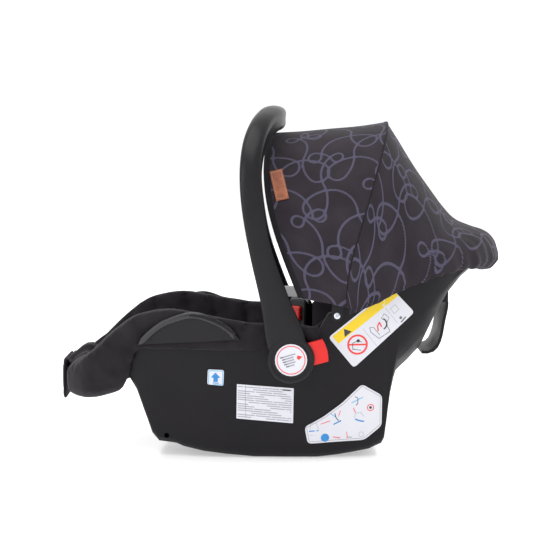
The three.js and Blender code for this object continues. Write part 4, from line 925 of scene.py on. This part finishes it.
# ------------------------------------------------------------------ canopy bows and fittings
# Flat polypropylene strips that the panels are sleeved on, turning on studs in the two brackets.
bow_plastic = moulded_plastic("black_polypropylene_strip", "#1a191c", 0.42, 1.0, 0.12, 0.25)
for name in ("canopy_front_bow", "canopy_ridge_bow"):
    finish_node(name, bow_plastic, 40)
nylon = moulded_plastic("black_nylon", "#161518", 0.38, 0.8, 0.1, 0.25)
for name in ("buckle_body", "adjuster_body"):
    finish_node(name, nylon, 30)
grey_nylon = moulded_plastic("light_grey_nylon", "#9a9a9c", 0.45, 0.8, 0.15)
for name in ("buckle_tongue_left", "buckle_tongue_right", "lock_wheel_left", "lock_wheel_right"):
    finish_node(name, grey_nylon, 30)


# ------------------------------------------------------------------ steel fittings
# Zinc-plated steel: pivot bolts, springs, yoke, anchor and the two bracket screws, each a pan
# head with a crossed recess.
def plated_steel(name, colour, roughness):
    material, tree = new_material(name)
    place = object_place(tree)
    gloss = remap(tree, voronoi(tree, place, 1.8), roughness - 0.06, roughness + 0.08)
    shade(tree, base_color=linear(colour), metallic=1.0, roughness=gloss,
          normal=bump(tree, noise(tree, place, 0.6, 3.0), 0.15, 0.05))
    return material


zinc = plated_steel("zinc_plated_steel", "#c9ced6", 0.26)
for name in ("pivot_bolt_left", "pivot_bolt_right", "harness_yoke", "crotch_anchor"):
    finish_node(name, zinc, 40)
for side, sign in sides:          # the lock springs, which shorten as the wheels are pushed in, stay one fixed coil each on the shell
    coil = welded_copy(f"lock_spring_{side}", f"lock_spring_coil_{side}")
    coil.data.materials.clear()
    coil.data.materials.append(zinc)
    low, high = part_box(f"lock_spring_{side}")
    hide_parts(f"lock_spring_{side}")
    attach(coil, "shell")
    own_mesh(coil)
for side, sign in sides:
    low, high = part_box(f"rim_screw_{side}")
    face = max(abs(low[1]), abs(high[1])) / MM
    shank = min(abs(low[1]), abs(high[1])) / MM
    middle_x, middle_z = (low[0] + high[0]) / 2 / MM, (low[2] + high[2]) / 2 / MM
    head = turned(f"pan_head_screw_{side}", ((0, shank), (1.8, shank), (1.8, face - 2.6),
                  (4.9, face - 2.5), (5.1, face - 1.7), (4.7, face - 0.7), (3.6, face - 0.1),
                  (2.2, face + 0.15), (0, face + 0.25)), (middle_x, middle_z), sign, zinc, 48)
    cross = bmesh.new()
    for turn in (0.4, 0.4 + math.pi / 2):
        arm = bmesh.ops.create_cube(cross, size=1)["verts"]
        for vertex in arm:
            x, y, z = vertex.co
            taper = 1 if y * sign > 0 else 0.5
            x, z = x * 5.4 * taper, z * 1.1 * taper
            vertex.co = Vector((middle_x + x * math.cos(turn) - z * math.sin(turn),
                                sign * (face - 0.6) + y * 2.2,
                                middle_z + x * math.sin(turn) + z * math.cos(turn))) * MM
    mesh = bpy.data.meshes.new("cross")
    cross.to_mesh(mesh)
    cross.free()
    cutter = bpy.data.objects.new("cross", mesh)
    scene.collection.objects.link(cutter)
    cut = head.modifiers.new("recess", "BOOLEAN")
    cut.object, cut.operation, cut.solver = cutter, "DIFFERENCE", "EXACT"
    cut.use_self = True
    applied(head)
    bpy.data.objects.remove(cutter)
    head.data.polygons.foreach_set("use_smooth", [False] * len(head.data.polygons))
    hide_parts(f"rim_screw_{side}")
    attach(head, "shell")


# ------------------------------------------------------------------ harness webbing
# Woven polyester straps, 38 mm wide and 1.6 mm thick, with a ribbed face and a bound selvedge.
def webbing_material(name, colour):
    material, tree = new_material(name)
    place = object_place(tree)
    across = put(tree, "ShaderNodeSeparateXYZ", {"Vector": place}).outputs["Y"]
    ribs = maths(tree, "SINE", maths(tree, "MULTIPLY", across, 2 * math.pi / (1.6 * MM)))
    height = maths(tree, "ADD", ribs, voronoi(tree, place, 1.3))
    shade(tree, base_color=linear(colour), roughness=0.62, sheen_weight=0.15,
          specular_ior_level=0.35, normal=bump(tree, height, 0.4, 0.3))
    return material


webbing = webbing_material("black_polyester_webbing", "#1c1b1e")


def strap(name, node):
    """A CAD ribbon with its corners rounded and its run smoothed."""
    piece = welded_copy(node, name)
    shape = bmesh.new()
    shape.from_mesh(piece.data)
    bmesh.ops.join_triangles(shape, faces=shape.faces, angle_face_threshold=0.7,
                             angle_shape_threshold=0.9)
    crease = shape.edges.layers.float.new("crease_edge")
    for edge in shape.edges:
        if len(edge.link_faces) == 2 and edge.calc_face_angle(0) > math.radians(55):
            edge[crease] = 0.85
    shape.to_mesh(piece.data)
    shape.free()
    smooth = piece.modifiers.new("smooth", "SUBSURF")
    smooth.levels = smooth.render_levels = 2
    applied(piece)
    piece.data.materials.clear()
    piece.data.materials.append(webbing)
    piece.data.polygons.foreach_set("use_smooth", [True] * len(piece.data.polygons))
    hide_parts(node)
    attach(piece, "shell")
    return piece


for name in ("crotch_strap", "shoulder_strap_left", "shoulder_strap_right", "adjuster_strap",
             "adjuster_tail"):
    strap(name + "_webbing", name)

# ------------------------------------------------------------------ labels
# White vinyl film printed with plain marks of no meaning, stuck flat on the left wall and on
# both hub covers. The marks are thin prints laid on the film.
film, tree = new_material("white_vinyl_film")
shade(tree, base_color=linear("#cfcfd6"), roughness=0.34,
      normal=bump(tree, noise(tree, object_place(tree), 6), 0.08, 0.2))
for name in ("arrow_label", "info_label", "airbag_label", "route_label", "hub_label_left",
             "hub_label_right"):
    finish_node(name, film, 50)


def ink(name, colour):
    material, tree = new_material(name)
    gloss = remap(tree, noise(tree, object_place(tree), 0.5), 0.28, 0.42)
    shade(tree, base_color=linear(colour), roughness=gloss)
    return material


inks = {"grey": ink("grey_ink", "#66666e"), "pale": ink("pale_grey_ink", "#9494a0"),
        "black": ink("black_ink", "#2a282c"), "red": ink("red_ink", "#e0352f"),
        "blue": ink("blue_ink", "#1f7fc4"), "sky": ink("light_blue_ink", "#62b0dc"),
        "yellow": ink("yellow_ink", "#e2c100"), "thread": ink("tan_thread", "#b98360")}


def stroke(a, b, width, colour):
    """A straight bar as short quads."""
    a, b = np.array(a, float), np.array(b, float)
    length = np.linalg.norm(b - a)
    steps = max(1, int(length / 6))
    side = np.array([-(b - a)[1], (b - a)[0]]) / length * width / 2
    at = [a + (b - a) * k / steps for k in range(steps + 1)]
    return [(colour, [at[k] - side, at[k + 1] - side, at[k + 1] + side, at[k] + side])
            for k in range(steps)]


def path(points, width, colour):
    return [quad for a, b in zip(points, points[1:]) for quad in stroke(a, b, width, colour)]


def arc(centre, radius, start, end, width, colour, steps=32):
    return path([(centre[0] + radius * math.cos(math.radians(start + (end - start) * k / steps)),
                  centre[1] + radius * math.sin(math.radians(start + (end - start) * k / steps)))
                 for k in range(steps + 1)], width, colour)


def disc(centre, radius, colour, steps=24):
    rim = [np.array(centre) + radius * np.array([math.cos(2 * math.pi * k / steps),
           math.sin(2 * math.pi * k / steps)]) for k in range(steps)]
    return [(colour, [np.array(centre), rim[k], rim[(k + 1) % steps]]) for k in range(steps)]


def printed(name, node, marks, body, lift=0.12, sign=-1):
    """Marks as flat faces laid on a label's outer side, in millimetres seen from that side."""
    label = frame["nodes"][node]
    graph = bpy.context.evaluated_depsgraph_get()
    skin = BVHTree.FromObject(label, graph)
    points, faces, colours = [], [], []
    for colour, corners in marks:
        found = []
        for x, z in corners:
            hit = skin.ray_cast(Vector((x * MM, sign * 0.5, z * MM)), Vector((0, -sign, 0)))
            if hit[0] is None:
                break
            height = lift + marks_layer(colour)
            found.append(((hit[0] + hit[1] * height * MM) / MM)[:])
        if len(found) == len(corners):
            faces.append(tuple(range(len(points), len(points) + len(found))))
            points += found
            colours.append(colour)
    used = sorted(set(colours))
    piece = plain_mesh(name, points, faces, inks[used[0]], smooth=False)
    for colour in used[1:]:
        piece.data.materials.append(inks[colour])
    piece.data.polygons.foreach_set("material_index", [used.index(c) for c in colours])
    shape = bmesh.new()
    shape.from_mesh(piece.data)
    for face in shape.faces:
        if face.normal.y * sign < 0:
            face.normal_flip()
    shape.to_mesh(piece.data)
    shape.free()
    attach(piece, body)
    return piece


def marks_layer(colour):
    """Inks printed later lie a hair higher."""
    return {"yellow": 0.0, "sky": 0.0, "pale": 0.02, "grey": 0.03, "blue": 0.04, "black": 0.05,
            "red": 0.06, "thread": 0.0}[colour]


# Arrow label: a pale blue frame round a blue arrow that points up.
cx, cz = -104, 129
marks = path([(cx - 11, cz - 10.6), (cx + 10.6, cz - 11.4), (cx + 11.2, cz + 10.4), (cx - 10.4,
              cz + 11), (cx - 11, cz - 10.6)], 1.3, "sky")
marks += [("blue", [(cx - 7.5, cz), (cx + 7.5, cz - 0.4), (cx, cz + 8)])]
marks += stroke((cx, cz - 7), (cx, cz + 0.6), 7, "blue")
marks += stroke((cx - 5, cz - 8.6), (cx + 5, cz - 8.9), 1.2, "blue")
printed("arrow_label_print", "arrow_label", marks, "shell")

# Information label: rows of fine grey dashes, like small print that can't be read.
marks = []
for row in range(15):
    share = row / 14
    start = np.array([-69.5, 115.5]) * (1 - share) + np.array([-70.2, 67.5]) * share
    end = np.array([14, 109.5]) * (1 - share) + np.array([13.2, 60.8]) * share
    along = end - start
    at = 0.0
    while at < 1:
        step = 0.10 + 0.22 * abs(math.sin(row * 2.3 + at * 11))
        if math.sin(row * 5.1 + at * 7) > -0.75:
            marks += stroke(start + along * at, start + along * min(at + step, 1), 1.35, "pale")
        at += step + 0.02
marks += stroke((-58, 117), (-57.5, 66), 0.5, "grey") + stroke((0, 110.4), (12, 109.5), 2, "black")
printed("info_label_print", "info_label", marks, "shell")

# Slanting label: a yellow band along its upper edge, a red ring with a bar, and line sketches.
origin = np.array([74.0, 194.0])
along = np.array([96.0, 77.0]) / math.hypot(96, 77)
across = np.array([along[1], -along[0]])


def on_slant(a, b):
    return origin + along * a + across * b


marks = []
for k in range(24):
    a, b = k * 4.92 + 2, k * 4.92 + 6.92
    marks.append(("yellow", [on_slant(a, 1), on_slant(b, 1), on_slant(b, 9), on_slant(a, 9)]))
    marks.append(("yellow", [on_slant(a, 9), on_slant(b, 9), on_slant(b, 16), on_slant(a, 16)]))
marks.append(("black", [on_slant(16, 14), on_slant(30, 14), on_slant(23, 3)]))
ring = on_slant(24, 36)
marks += arc(ring, 14.5, 0, 360, 3, "red", 40)
marks += stroke(ring + [-13, 0], ring + [13, 0], 2.6, "red")
marks += path([ring + [-7, -8], ring + [-8, 2], ring + [0, 6], ring + [7, 4]], 0.9, "black")
marks += disc(ring + [1, 6], 2.6, "black", 12) + path([ring + [-8, -7], ring + [6, -9]], 0.9,
                                                      "black")
for width, colour, points in (
        (0.5, "pale", ((46, 21), (46, 57))), (0.5, "pale", ((93, 18), (93, 56))),
        (0.9, "grey", ((52, 34), (56, 50), (76, 52), (78, 42))),
        (0.9, "grey", ((52, 34), (55, 27), (60, 30), (60, 46))),
        (2.0, "red", ((62, 40), (66, 33), (72, 30), (70, 38))),
        (0.7, "grey", ((78, 27), (86, 24), (88, 34), (80, 38), (78, 27))),
        (0.6, "pale", ((98, 24), (108, 24), (108, 34), (98, 34), (98, 24))),
        (2, "grey", ((98, 52), (109, 50)))):
    marks += path([on_slant(*point) for point in points], width, colour)
marks += arc(on_slant(72, 34), 9, -60, 70, 2.2, "black", 12)
marks += disc(on_slant(102, 46), 2.4, "grey", 10)
printed("slant_label_print", "airbag_label", marks, "shell")

# Route label: short blue and red strokes, a blue dot and a small red ring in a thin border.
marks = []
for width, colour, points in (
        (1.8, "blue", ((41, 44), (56, 45))),
        (0.6, "pale", ((42, 47), (44, 56), (52, 57), (56, 47))),
        (1.1, "red", ((59, 55), (74, 60))), (2.0, "blue", ((79, 54), (91, 60))),
        (1.6, "sky", ((74, 72), (82, 66))), (1.3, "black", ((81, 72), (83, 65), (87, 60))),
        (1.0, "red", ((90, 76), (87, 67))), (1.5, "sky", ((107, 88), (125, 97))),
        (1.0, "black", ((112, 98), (117, 96), (117, 87), (114, 84))),
        (1.1, "red", ((110, 80), (114, 72))), (2.2, "blue", ((113, 62), (120, 59), (127, 58))),
        (0.6, "pale", ((112, 64), (113, 70), (121, 73), (127, 66))),
        (1.2, "red", ((78, 34), (90, 32))), (1.0, "red", ((100, 42), (101, 31))),
        (1.0, "grey", ((101, 33), (108, 33))), (0.6, "pale", ((42, 38), (52, 37)))):
    marks += path(points, width, colour)
marks += arc((137, 80), 5, 0, 360, 1.3, "red", 20) + disc((137, 80), 2.3, "black", 10)
marks += disc((66, 33), 6.6, "blue") + arc((123, 37), 4, 0, 360, 0.6, "pale", 16)
border = [(37, 50), (41.5, 27), (127, 31), (152.3, 51.5), (152.3, 97.5), (123.2, 114.6)]
border += [(93.6, 86), (66.3, 65.8), (37, 50)]
for start, end in zip(border, border[1:]):
    steps = [np.array(start) + (np.array(end) - start) * k / 6 for k in range(7)]
    marks += path([tuple(p) for p in steps], 0.5, "grey")
printed("route_label_print", "route_label", marks, "shell")

# Hub labels: a thin red ring, five grey dashes and a small red arrow toward the button.
mark_tilt = math.radians(16)


def turn(a, b):
    """A place on a hub label, from its own tilted axes."""
    return (hub.x + a * math.cos(mark_tilt) - b * math.sin(mark_tilt),
            hub.z + a * math.sin(mark_tilt) + b * math.cos(mark_tilt))


for side, sign in sides:
    marks = arc((hub.x, hub.z), 21.3, 0, 360, 1.3, "red", 64)
    for row, (a, b) in enumerate(((-15, 9), (-13, 5), (-13, 5), (-12, 6), (-10, 3))):
        height = 7.5 - 3.9 * row
        marks += stroke(turn(a, height), turn(b, height), 2.0, "pale")
        marks += stroke(turn(a, height), turn(a + 4.5, height), 2.0, "grey")
    marks += [("red", [turn(11, 4.5), turn(11, -3.5), turn(18, 0.5)])]
    marks += stroke(turn(9.5, 0.5), turn(12, 0.5), 3.4, "red")
    printed(f"hub_label_print_{side}", f"hub_label_{side}", marks, "handle", sign=sign)


# ------------------------------------------------------------------ canopy tag
# A tab of tan leather, sewn round its edge with paler thread and left without a mark.
leather, tree = new_material("tan_leather")
place = object_place(tree)
tan = two_tone(tree, noise(tree, place, 9, 4.0), linear("#7c4229"), linear("#9c5632"))
shade(tree, base_color=tan, roughness=0.55, normal=bump(tree, voronoi(tree, place, 1.4), 0.4, 0.25))
finish_node("canopy_tag", leather, 50)
tag_middle, tag_tilt = np.array([-5.5, 427]), math.radians(13)
tag_down = np.array([math.sin(tag_tilt), -math.cos(tag_tilt)])
tag_wide = np.array([math.cos(tag_tilt), math.sin(tag_tilt)])
corners = [tag_middle + tag_down * a * 20.4 + tag_wide * b * 7.6
           for a, b in ((-1, -1), (-1, 1), (1, 1), (1, -1), (-1, -1))]
marks = []
for a, b in zip(corners, corners[1:]):
    count = int(np.linalg.norm(b - a) / 3.2)
    for k in range(count):
        marks += stroke(a + (b - a) * (k + 0.15) / count, a + (b - a) * (k + 0.8) / count, 0.7,
                        "thread")
stitches = printed("canopy_tag_stitches", "canopy_tag", marks, "canopy_front", lift=0.18)
